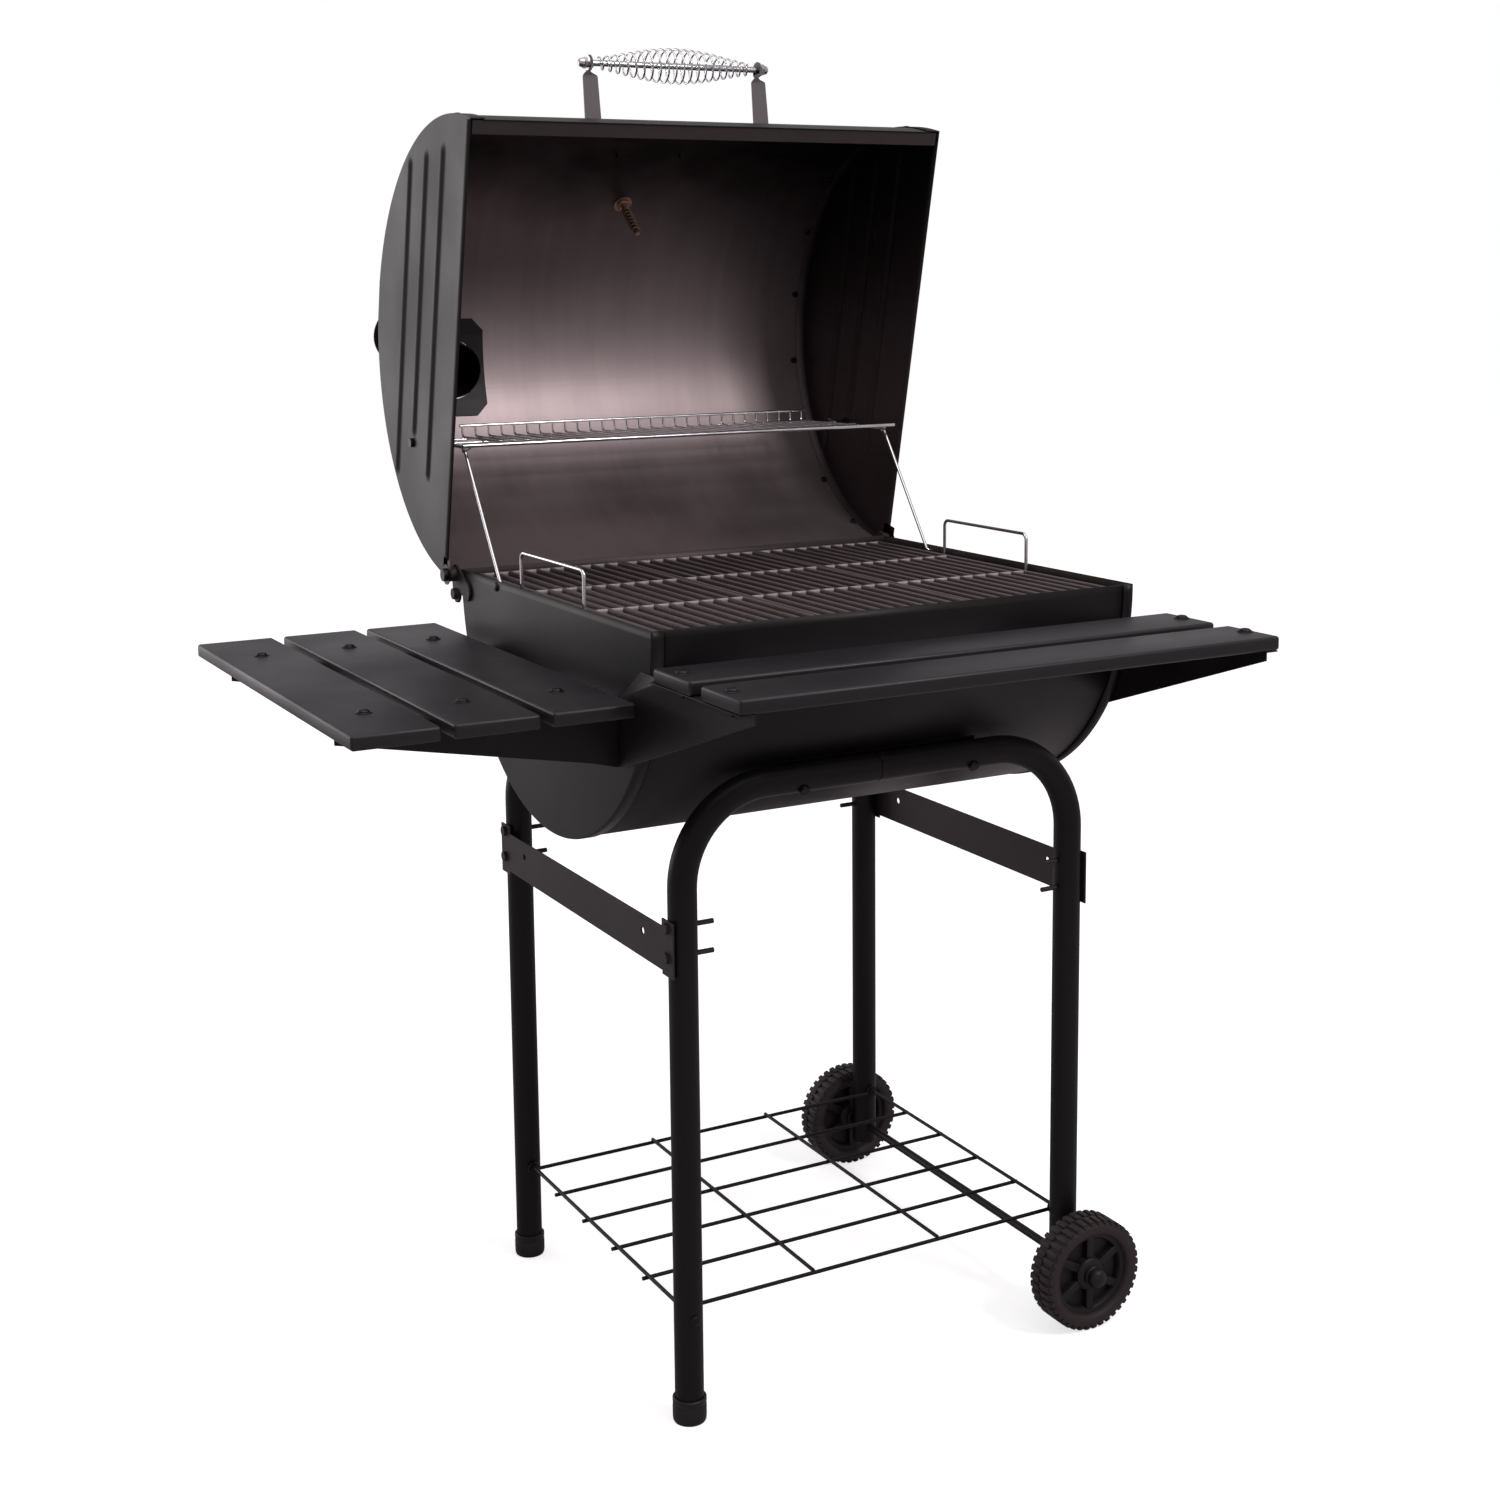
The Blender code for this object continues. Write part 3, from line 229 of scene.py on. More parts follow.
def node(tree, kind, **values):
    """A node with its named sockets and settings filled in; a socket value may be an output to link."""
    made = tree.nodes.new("ShaderNode" + kind)
    for key, value in values.items():
        if hasattr(made, key):
            setattr(made, key, value)
            continue
        socket = made.inputs[int(key[1:])] if key[1:].isdigit() else made.inputs[key.replace("_", " ")]
        if isinstance(value, bpy.types.NodeSocket):
            tree.links.new(value, socket)
        else:
            socket.default_value = value
    return made


# %% Grain and patches
grain_tree, grain_in, grain_out = group(
    "grain_and_patches",
    [("Grain Scale", "NodeSocketFloat", 900.0), ("Patch Scale", "NodeSocketFloat", 9.0)],
    ["Grain", "Patch"],
)
spot = node(grain_tree, "TexCoord").outputs["Object"]
fine = node(grain_tree, "TexNoise", Vector=spot, Scale=grain_in.outputs["Grain Scale"], Detail=2.0)
slow = node(grain_tree, "TexNoise", Vector=spot, Scale=grain_in.outputs["Patch Scale"], Detail=5.0)
grain_tree.links.new(fine.outputs["Fac"], grain_out.inputs["Grain"])
grain_tree.links.new(slow.outputs["Fac"], grain_out.inputs["Patch"])

# %% Long streaks
streak_tree, streak_in, streak_out = group(
    "long_streaks", [("Stretch", "NodeSocketVector", (200.0, 3.0, 3.0))], ["Streak"]
)
spot = node(streak_tree, "TexCoord").outputs["Object"]
drawn = node(streak_tree, "Mapping", Vector=spot, Scale=streak_in.outputs["Stretch"])
lines = node(streak_tree, "TexNoise", Vector=drawn.outputs[0], Scale=1.0, Detail=6.0, Roughness=0.6)
streak_tree.links.new(lines.outputs["Fac"], streak_out.inputs["Streak"])

# %% Tint on upward faces: dust, and a painted highlight on cast iron
# Faces that look up get a tint: a little dust on most finishes, a painted highlight on the cast iron.
upward_tint_tree, upward_tint_in, upward_tint_out = group("dust_and_top_highlight", [("Amount", "NodeSocketFloat", 0.3)], ["Dust"])
facing = node(upward_tint_tree, "SeparateXYZ", _0=node(upward_tint_tree, "NewGeometry").outputs["Normal"])
upward = node(upward_tint_tree, "MapRange", Value=facing.outputs["Z"], From_Min=0.55, From_Max=1.0)
spot = node(upward_tint_tree, "TexCoord").outputs["Object"]
cloud = node(upward_tint_tree, "TexNoise", Vector=spot, Scale=14.0, Detail=6.0)
broken = node(upward_tint_tree, "Math", operation="MULTIPLY", _0=upward.outputs[0], _1=cloud.outputs["Fac"])
scaled = node(upward_tint_tree, "Math", operation="MULTIPLY", _0=broken.outputs[0], _1=upward_tint_in.outputs["Amount"])
upward_tint_tree.links.new(scaled.outputs[0], upward_tint_out.inputs["Dust"])

# %% Height up a piece
rise_tree, rise_in, rise_out = group(
    "rise", [("Bottom", "NodeSocketFloat", 0.0), ("Top", "NodeSocketFloat", 1.0)], ["Rise"]
)
place = node(rise_tree, "SeparateXYZ", _0=node(rise_tree, "TexCoord").outputs["Object"])
climb = node(
    rise_tree, "MapRange", interpolation_type="SMOOTHSTEP", Value=place.outputs["Z"],
    From_Min=rise_in.outputs["Bottom"], From_Max=rise_in.outputs["Top"],
)
rise_tree.links.new(climb.outputs[0], rise_out.inputs["Rise"])
print("groups", [tree.name for tree in (grain_tree, streak_tree, upward_tint_tree, rise_tree)])

# %% [markdown]
# ## Finishes
# Each finish is one Principled shader. Its steady numbers sit on the shader itself, and only
# what changes over the surface is linked: colour, roughness and a bump.


# %% Finish helpers
def finish(name, roughness, metallic=0.0, **steady):
    """Starts a finish; the steady numbers are set on the shader's own sockets."""
    look = plain(name, (0.5, 0.5, 0.5), roughness)
    shader = look.node_tree.nodes["Principled BSDF"]
    shader.inputs["Metallic"].default_value = metallic
    for key, value in steady.items():
        shader.inputs[key.replace("_", " ")].default_value = value
    return look, look.node_tree, shader


def use(tree, name, **values):
    """Places one of the shared groups in a finish, with this finish's values."""
    made = tree.nodes.new("ShaderNodeGroup")
    made.node_tree = bpy.data.node_groups[name]
    for key, value in values.items():
        made.inputs[key.replace("_", " ")].default_value = value
    return made


def mixed(tree, factor, first, second):
    """A colour between two, each of them three numbers or an output."""
    blend = tree.nodes.new("ShaderNodeMix")
    blend.data_type = "RGBA"
    tree.links.new(factor, blend.inputs["Factor"])
    sockets = [s for s in blend.inputs if s.type == "RGBA"]
    for socket, colour in zip(sockets, (first, second)):
        if isinstance(colour, bpy.types.NodeSocket):
            tree.links.new(colour, socket)
        else:
            socket.default_value = (*colour, 1.0)
    return [s for s in blend.outputs if s.type == "RGBA"][0]


def ranged(tree, value, low, high, start=0.3, stop=0.7):
    """A noise value stretched to lie between two others."""
    stretch = {"From_Min": start, "From_Max": stop, "To_Min": low, "To_Max": high}
    return node(tree, "MapRange", Value=value, **stretch).outputs[0]


def coloured(tree, shader, dust, colour, top_colour):
    """Feeds a colour to the shader, with a tint on upward faces: dust, and on cast iron a painted
    highlight.
    """
    tree.links.new(mixed(tree, dust.outputs["Dust"], colour, top_colour), shader.inputs["Base Color"])


def roughened(tree, shader, mask, low, high):
    """Lets the roughness wander between two values."""
    tree.links.new(ranged(tree, mask, low, high), shader.inputs["Roughness"])


def bumped(tree, shader, height, distance, strength=1.0, after=None):
    """Feeds a bump to the shader, over an earlier bump if one is given."""
    bump = node(tree, "Bump", Height=height, Distance=distance, Strength=strength)
    if after:
        tree.links.new(after.outputs[0], bump.inputs["Normal"])
    tree.links.new(bump.outputs[0], shader.inputs["Normal"])
    return bump


# %% Powder coat, inside and outside
def powder_coat(name, dark, light, roughness, dust, gleam=0.26):
    """Baked black powder: a faint orange peel, slow patches of sheen and a little dust."""
    look, tree, shader = finish(name, 0.5, Specular_IOR_Level=gleam)
    skin = use(tree, "grain_and_patches", Grain_Scale=520.0, Patch_Scale=7.0)
    top_tint = use(tree, "dust_and_top_highlight", Amount=dust)
    colour = mixed(tree, skin.outputs["Patch"], dark, light)
    coloured(tree, shader, top_tint, colour, (0.30, 0.29, 0.28))
    roughened(tree, shader, skin.outputs["Patch"], roughness - 0.05, roughness + 0.06)
    bumped(tree, shader, skin.outputs["Grain"], 0.00012)
    return look


COAT = powder_coat("black_powder_coat", (0.006, 0.005, 0.0058), (0.0095, 0.008, 0.0092), 0.44, 0.05)
COAT_TUBE = powder_coat("black_tube_coat", (0.005, 0.004, 0.0042), (0.008, 0.0065, 0.0068), 0.42, 0.02, 0.2)
COAT_STRAP = powder_coat("brown_black_strap_coat", (0.026, 0.020, 0.020), (0.038, 0.030, 0.030), 0.55, 0.03)
# The grip straps' pale grey is partly their own lighter coat and partly a painted highlight.
COAT_GRIP_PALE = powder_coat("grip_coat_pale_and_highlit", (0.085, 0.073, 0.080), (0.125, 0.108, 0.118), 0.50, 0.03, 0.4)


def rolled_steel(name, bright, dark, bottom, top, roughness):
    """Bare rolled sheet darkened by heat: patches, faint rolling lines, and painted shade toward the crown.
    """
    look, tree, shader = finish(name, 0.45, 0.85)
    streaks = use(tree, "long_streaks", Stretch=(60.0, 4.0, 4.0))
    skin = use(tree, "grain_and_patches", Grain_Scale=700.0, Patch_Scale=6.0)
    climb = use(tree, "rise", Bottom=bottom, Top=top)
    uneven = ranged(tree, skin.outputs["Patch"], -0.18, 0.18)
    crown_shade_rise = node(tree, "Math", operation="ADD", _0=climb.outputs["Rise"], _1=uneven)
    worn = node(tree, "Math", operation="MULTIPLY", _0=streaks.outputs["Streak"], _1=0.22)
    blotched = node(
        tree, "Math", operation="MULTIPLY_ADD", _0=skin.outputs["Patch"], _1=0.78, _2=worn.outputs[0]
    )
    lit = mixed(tree, ranged(tree, blotched.outputs[0], 0.0, 1.0, 0.32, 0.68), dark, bright)
    # Painted shade: the colour darkens to near black toward the crown.
    crown_shade = node(tree, "Clamp", Value=crown_shade_rise.outputs[0])
    tree.links.new(mixed(tree, crown_shade.outputs[0], lit, (0.022, 0.0195, 0.0200)), shader.inputs["Base Color"])
    roughened(tree, shader, skin.outputs["Patch"], roughness - 0.04, roughness + 0.05)
    bumped(tree, shader, skin.outputs["Grain"], 0.00004, 0.5)
    return look


# The lid's inside gets painted shade from a height of 1.12 m up to its crown.
LID_STEEL = rolled_steel("seasoned_lid_steel", (0.40, 0.335, 0.34), (0.25, 0.208, 0.213), 1.12, 1.44, 0.43)
# The ends' inner steel is the lid steel made darker, a painted shade, and darker again toward the crown.
END_STEEL_SHADED = rolled_steel("end_steel_painted_shade", (0.115, 0.09, 0.094), (0.06, 0.046, 0.048), 1.0, 1.4, 0.45)
FIRE_STEEL = rolled_steel("seasoned_firebox_steel", (0.10, 0.085, 0.08), (0.05, 0.04, 0.04), 2.0, 3.0, 0.55)


# %% Cast iron
def cast_iron(name, dark, light, top):
    """Sand-cast iron, oiled and baked brown, with a painted highlight: lighter where its faces look up."""
    look, tree, shader = finish(name, 0.6, 0.35)
    skin = use(tree, "grain_and_patches", Grain_Scale=420.0, Patch_Scale=16.0)
    # Upward faces take the top colour at nearly full strength: a painted highlight.
    top_tint = use(tree, "dust_and_top_highlight", Amount=0.9)
    colour = mixed(tree, skin.outputs["Patch"], dark, light)
    coloured(tree, shader, top_tint, colour, top)
    roughened(tree, shader, skin.outputs["Grain"], 0.48, 0.72)
    bumped(tree, shader, skin.outputs["Grain"], 0.0006)
    return look


IRON = cast_iron("seasoned_cast_iron", (0.055, 0.040, 0.040), (0.110, 0.083, 0.083), (0.20, 0.160, 0.162))
# The cross ribs' lighter colours and near-white tops are a painted highlight.
RIB_IRON_HIGHLIT = cast_iron("rib_cast_iron_painted_highlight", (0.20, 0.165, 0.168), (0.34, 0.29, 0.295), (0.62, 0.55, 0.56))


# %% Plated wire and zinc
def plated(name, colour, roughness, spread):
    """Metal plate or bare metal: one tint, a shade darker in patches."""
    look, tree, shader = finish(name, roughness, 1.0)
    skin = use(tree, "grain_and_patches", Grain_Scale=160.0, Patch_Scale=30.0)
    tint = tuple(channel * 0.82 for channel in colour)
    tree.links.new(mixed(tree, skin.outputs["Patch"], tint, colour), shader.inputs["Base Color"])
    roughened(tree, shader, skin.outputs["Patch"], roughness - spread, roughness + spread)
    bumped(tree, shader, skin.outputs["Grain"], 0.00003)
    return look


CHROME = plated("chrome_plate", (0.80, 0.80, 0.81), 0.16, 0.06)
ZINC = plated("zinc_plate", (0.52, 0.51, 0.50), 0.34, 0.08)
SCORCHED = plated("scorched_brass", (0.46, 0.32, 0.25), 0.42, 0.10)
BOLT = plated("blackened_bolt", (0.045, 0.042, 0.042), 0.42, 0.08)


# %% Stained wood
def stained_wood(name, grain_along):
    """Hardwood slats stained black: the grain shows as fine ridges and a change of sheen."""
    look, tree, shader = finish(name, 0.4, 0.0, Specular_IOR_Level=0.42)
    stretch = (4.0, 160.0, 160.0) if grain_along == "x" else (160.0, 4.0, 160.0)
    fibres = use(tree, "long_streaks", Stretch=stretch)
    skin = use(tree, "grain_and_patches", Grain_Scale=300.0, Patch_Scale=6.0)
    shade = mixed(tree, fibres.outputs["Streak"], (0.0050, 0.0048, 0.0056), (0.0100, 0.0095, 0.0108))
    top_tint = use(tree, "dust_and_top_highlight", Amount=0.05)
    coloured(tree, shader, top_tint, shade, (0.25, 0.24, 0.26))
    roughened(tree, shader, skin.outputs["Patch"], 0.36, 0.50)
    peel = bumped(tree, shader, skin.outputs["Grain"], 0.00005)
    bumped(tree, shader, fibres.outputs["Streak"], 0.0003, 0.6, peel)
    return look


WOOD_SIDE = stained_wood("black_stain_side", "y")
WOOD_FRONT = stained_wood("black_stain_front", "x")


# %% Moulded plastic
def moulded(name, dark, light, roughness, gleam=0.5):
    """Moulded plastic or enamel: a fine even grain and a little dust."""
    look, tree, shader = finish(name, roughness, Specular_IOR_Level=gleam)
    skin = use(tree, "grain_and_patches", Grain_Scale=1400.0, Patch_Scale=20.0)
    top_tint = use(tree, "dust_and_top_highlight", Amount=0.15)
    colour = mixed(tree, skin.outputs["Patch"], dark, light)
    coloured(tree, shader, top_tint, colour, (0.2, 0.18, 0.17))
    roughened(tree, shader, skin.outputs["Patch"], roughness - 0.06, roughness + 0.06)
    bumped(tree, shader, skin.outputs["Grain"], 0.00008)
    return look


PLASTIC = moulded("black_plastic", (0.007, 0.006, 0.006), (0.011, 0.009, 0.010), 0.45, 0.35)
TREAD = moulded("wheel_plastic", (0.022, 0.0155, 0.0165), (0.036, 0.026, 0.028), 0.60, 0.35)
WEB = moulded("wheel_web_plastic", (0.006, 0.005, 0.005), (0.010, 0.008, 0.0085), 0.5, 0.35)
DIAL = moulded("dial_enamel", (0.72, 0.71, 0.66), (0.80, 0.79, 0.75), 0.4)
INK = plain("dial_ink", (0.015, 0.015, 0.015), 0.5)
RED = moulded("needle_red", (0.40, 0.012, 0.010), (0.50, 0.02, 0.016), 0.35)
LENS = plain("clear_lens", (1.0, 1.0, 1.0), 0.03)
LENS.node_tree.nodes["Principled BSDF"].inputs["Transmission Weight"].default_value = 1.0
LENS.node_tree.nodes["Principled BSDF"].inputs["IOR"].default_value = 1.45
print("finishes", len(bpy.data.materials))

# %% [markdown]
# ## Making shapes
# Round stock is a ring of edges pushed along each straight and spun round each bend. Turned
# pieces are a profile spun a full turn. Flat sheet starts as a single edge that is pushed or
# spun, and gets its wall from Solidify. Folded and drilled hardware is already right as packed,
# so it is copied, its triangles are melted back into flat faces, and its edges are eased.

# %% Round stock, turned pieces and plates
def only(result, kind=bmesh.types.BMVert):
    """The points, or the edges, among what an operator gives back."""
    return [item for item in result if isinstance(item, kind)]


def pushed(bm, edges, step):
    """Extends a row or ring of edges by a step, and gives the far edges back."""
    grown = bmesh.ops.extrude_edge_only(bm, edges=edges)["geom"]
    bmesh.ops.translate(bm, vec=step, verts=only(grown))
    fresh = set(only(grown))
    return [edge for edge in only(grown, bmesh.types.BMEdge) if set(edge.verts) <= fresh]


def round_stock(bm, points, radius, bend=0.0, sides=16, steps=6):
    """A bar, tube or wire through the points, each inner corner bent to the given radius."""
    points = [Vector(point) for point in points]
    along = (points[1] - points[0]).normalized()
    facing = along.to_track_quat("Z", "Y").to_matrix().to_4x4()
    ring = bmesh.ops.create_circle(
        bm, segments=sides, radius=radius, matrix=Matrix.Translation(points[0]) @ facing
    )["verts"]
    edges = list({edge for vert in ring for edge in vert.link_edges})
    bmesh.ops.edgeloop_fill(bm, edges=edges)
    here = points[0]
    for corner, after in zip(points[1:], points[2:] + [None]):
        if after is None:
            edges = pushed(bm, edges, corner - here)
            break
        onward = (after - corner).normalized()
        angle = along.angle(onward)
        trim = bend * tan(angle / 2)
        edges = pushed(bm, edges, corner - along * trim - here)
        axis = along.cross(onward).normalized()
        middle = corner - along * trim + axis.cross(along) * bend
        verts = list({vert for edge in edges for vert in edge.verts})
        swept = bmesh.ops.spin(
            bm, geom=edges + verts, cent=middle, axis=axis, angle=angle, steps=steps
        )["geom_last"]
        edges = only(swept, bmesh.types.BMEdge)
        here, along = corner + onward * trim, onward
    bmesh.ops.edgeloop_fill(bm, edges=edges)


def turned(bm, profile, place=(0, 0, 0), axis=(0, 0, 1), steps=48):
    """A profile of (radius, height) points spun round an axis through a place."""
    lone = bmesh.new()
    verts = [lone.verts.new((r, 0, h)) for r, h in profile]
    edges = [lone.edges.new(pair) for pair in zip(verts, verts[1:])]
    bmesh.ops.spin(
        lone, geom=verts + edges, cent=(0, 0, 0), axis=(0, 0, 1), angle=2 * pi, steps=steps, use_merge=True
    )
    bmesh.ops.remove_doubles(lone, verts=lone.verts, dist=1e-6)
    facing = Vector(axis).to_track_quat("Z", "Y").to_matrix().to_4x4()
    merged(bm, lone, Matrix.Translation(place) @ facing)


def merged(bm, other, matrix=Matrix.Identity(4)):
    """Adds another bmesh to this one and frees it."""
    bmesh.ops.transform(other, matrix=matrix, verts=other.verts)
    bmesh.ops.recalc_face_normals(other, faces=other.faces)
    carrier = bpy.data.meshes.new("carrier")
    other.to_mesh(carrier)
    other.free()
    bm.from_mesh(carrier)
    bpy.data.meshes.remove(carrier)


def block(bm, x, y, z, round_edges=0.0, segments=2):
    """A box between (low, high) pairs, with its edges rounded if asked."""
    lone = bmesh.new()
    size = Vector((x[1] - x[0], y[1] - y[0], z[1] - z[0]))
    middle = Vector((x[0] + x[1], y[0] + y[1], z[0] + z[1])) / 2
    bmesh.ops.create_cube(lone, size=1.0)
    bmesh.ops.scale(lone, vec=size, verts=lone.verts)
    if round_edges:
        bmesh.ops.bevel(
            lone, geom=lone.edges, offset=round_edges, offset_type="OFFSET", segments=segments,
            profile=0.5, affect="EDGES", material=-1,
        )
    merged(bm, lone, Matrix.Translation(middle))


def dome_head(bm, place, axis, radius, height, steps=24):
    """A low domed bolt head, standing on its place."""
    rise = [(radius * cos(t * pi / 10), height * (0.35 + 0.65 * sin(t * pi / 10))) for t in range(5)]
    turned(bm, [(0, 0), (radius, 0)] + rise + [(0, height)], place, axis, steps)


def hex_head(bm, place, axis, radius, height):
    """A hexagon nut or head with its rim chamfered."""
    half_side = [(0, 0), (radius, 0), (radius, height * 0.82), (radius * 0.86, height), (0, height)]
    turned(bm, half_side, place, axis, 6)


# %% Finishing a piece
def built(name, bm, looks, body, *nodes, space=CART, sharp=35, merge=0.0, flip=True):
    """Places a modelled piece in the scene: mesh moved to its space, shaded, painted and riding."""
    if merge:
        bmesh.ops.remove_doubles(bm, verts=bm.verts, dist=merge)
    if flip:
        bmesh.ops.recalc_face_normals(bm, faces=bm.faces)
    bm.transform(space)
    mesh = bpy.data.meshes.new(name)
    bm.to_mesh(mesh)
    bm.free()
    piece = bpy.data.objects.new(name, mesh)
    scene.collection.objects.link(piece)
    for look in looks if isinstance(looks, tuple) else (looks,):
        mesh.materials.append(look)
    mesh.shade_smooth()
    mesh.set_sharp_from_angle(angle=radians(sharp))
    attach(piece, body)
    if nodes:
        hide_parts(*nodes)
    print(f"{name}: {len(mesh.polygons)} faces, rides on {body}")
    return piece


def walled(piece, thickness, inner_look=0, offset=-1.0):
    """Gives an open sheet its wall; the inner face may take the next material."""
    wall = piece.modifiers.new("wall", "SOLIDIFY")
    wall.thickness = thickness
    wall.offset = offset
    wall.material_offset = inner_look
    wall.use_even_offset = True
    return piece


def eased(piece, width, segments=2, angle=40):
    """Rounds the crisp edges a little, as folding, stamping and coating do."""
    ease = piece.modifiers.new("eased edges", "BEVEL")
    ease.width = width
    ease.segments = segments
    ease.limit_method = "ANGLE"
    ease.angle_limit = radians(angle)
    ease.harden_normals = False
    return piece


def from_part(name, look, body, *nodes, width=0.0005, sharp=32):
    """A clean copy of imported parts: merged, its flat triangles melted together, edges eased."""
    bm = bmesh.new()
    for node_name in nodes:
        bm.from_mesh(frame["nodes"][node_name].data)
    bmesh.ops.remove_doubles(bm, verts=bm.verts, dist=2e-5)
    bmesh.ops.dissolve_limit(bm, angle_limit=radians(0.8), verts=bm.verts, edges=bm.edges)
    piece = built(name, bm, look, body, *nodes, space=Matrix.Identity(4), sharp=sharp, flip=False)
    return eased(piece, width) if width else piece


def drilled(piece, cutters):
    """Cuts holes now, so that the wall and its edges follow them."""
    bm = bmesh.new()
    for start, end, radius in cutters:
        round_stock(bm, (start, end), radius, sides=32)
    mesh = bpy.data.meshes.new("cutters")
    bmesh.ops.recalc_face_normals(bm, faces=bm.faces)
    bm.to_mesh(mesh)
    bm.free()
    cutter = bpy.data.objects.new("cutters", mesh)
    scene.collection.objects.link(cutter)
    hole = piece.modifiers.new("holes", "BOOLEAN")
    hole.operation, hole.solver, hole.object = "DIFFERENCE", "EXACT", cutter
    bpy.context.view_layer.update()
    cut = bpy.data.meshes.new_from_object(piece.evaluated_get(bpy.context.evaluated_depsgraph_get()))
    piece.modifiers.clear()
    piece.data = cut
    bpy.data.objects.remove(cutter)
    cut.shade_smooth()
    cut.set_sharp_from_angle(angle=radians(35))
    return piece


print("shape helpers ready")

# %% [markdown]
# ## Cart
# The cart is two bent tubes, each in two halves that meet under the barrel. A bend could be a
# curve with a bevel, but spinning the open end of the tube keeps a true circle all the way
# round, and leaves the end loops where the seam and the plastic feet go.

# %% Legs
frame_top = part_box("cart_tube_front_left")[1].z - TUBE
TUBE_BEND = 0.102
for hand, side_x in (("left", -1), ("right", 1)):
    for depth, side_y in (("front", -1), ("rear", 1)):
        name = f"cart_tube_{depth}_{hand}"
        low, high = box_in(CART, name)
        inner_end = high.x if side_x < 0 else low.x
        y = side_y * LEG_Y
        bm = bmesh.new()
        line = [(side_x * LEG_X, y, low.z), (side_x * LEG_X, y, frame_top), (inner_end, y, frame_top)]
        round_stock(bm, line, TUBE, bend=TUBE_BEND, sides=48, steps=20)
        eased(built(f"leg_{depth}_{hand}", bm, COAT_TUBE, "cart", name), 0.0006, angle=60)

# %% [markdown]
# The left legs stand in moulded feet. The right legs stop short and carry the axle.

# %% Feet, axle and hub caps
for depth, side_y in (("front", -1), ("rear", 1)):
    low, high = box_in(CART, f"foot_cap_{depth}")
    radius, middle = (high.x - low.x) / 2, (low + high) / 2
    inner = TUBE + 0.0005
    profile = [
        (0, 0), (radius - 0.003, 0), (radius - 0.0012, 0.0006), (radius - 0.0004, 0.0022), (radius, 0.006),
        (radius, 0.0185), (radius - 0.0007, 0.0195), (radius - 0.0007, 0.0215), (radius, 0.0225),
        (radius, high.z - 0.001), (radius - 0.001, high.z), (inner, high.z), (inner, 0.003), (0, 0.003),
    ]
    bm = bmesh.new()
    turned(bm, profile, (middle.x, middle.y, 0), steps=64)
    built(f"foot_{depth}", bm, PLASTIC, "cart", f"foot_cap_{depth}", merge=1e-6)

axle_low, axle_high = box_in(CART, "axle")
axle_z = pivot_in(CART, "wheel_front_roll").z
bm = bmesh.new()
radius = (axle_high.z - axle_low.z) / 2
round_stock(bm, [(LEG_X, axle_low.y, axle_z), (LEG_X, axle_high.y, axle_z)], radius, sides=32)
eased(built("axle_rod", bm, COAT_TUBE, "cart", "axle"), 0.0006, angle=60)
for depth, side_y in (("front", -1), ("rear", 1)):
    low, high = box_in(CART, f"hub_cap_{depth}")
    near = high.y if side_y < 0 else low.y
    dome = [
        (0.0054, 0), (0.0113, 0), (0.0115, 0.0045), (0.0108, 0.0075), (0.0085, 0.0102),
        (0.0045, 0.0117), (0, 0.012),
    ]
    bm = bmesh.new()
    turned(bm, dome, (LEG_X, near, axle_z), (0, side_y, 0), 48)
    built(f"hub_button_{depth}", bm, PLASTIC, "cart", f"hub_cap_{depth}", merge=1e-6)

# %% [markdown]
# ## Wheels
# The wheels are hollow mouldings: a ribbed tread on two shoulders, a web set deep in the rim,
# six spokes and a stepped hub. The rim is one spun profile, and the tread lugs and spokes are
# one block each, copied round the axle.

# %% Wheels
LUGS, SPOKES = 40, 6


def copies_round(bm, other, count, axis="Y"):
    """Adds a small piece this many times, turned evenly round an axis through the origin."""
    carrier = bpy.data.meshes.new("carrier")
    bmesh.ops.recalc_face_normals(other, faces=other.faces)
    other.to_mesh(carrier)
    other.free()
    for _ in range(count):
        bm.from_mesh(carrier)
        carrier.transform(Matrix.Rotation(2 * pi / count, 4, axis))
    bpy.data.meshes.remove(carrier)


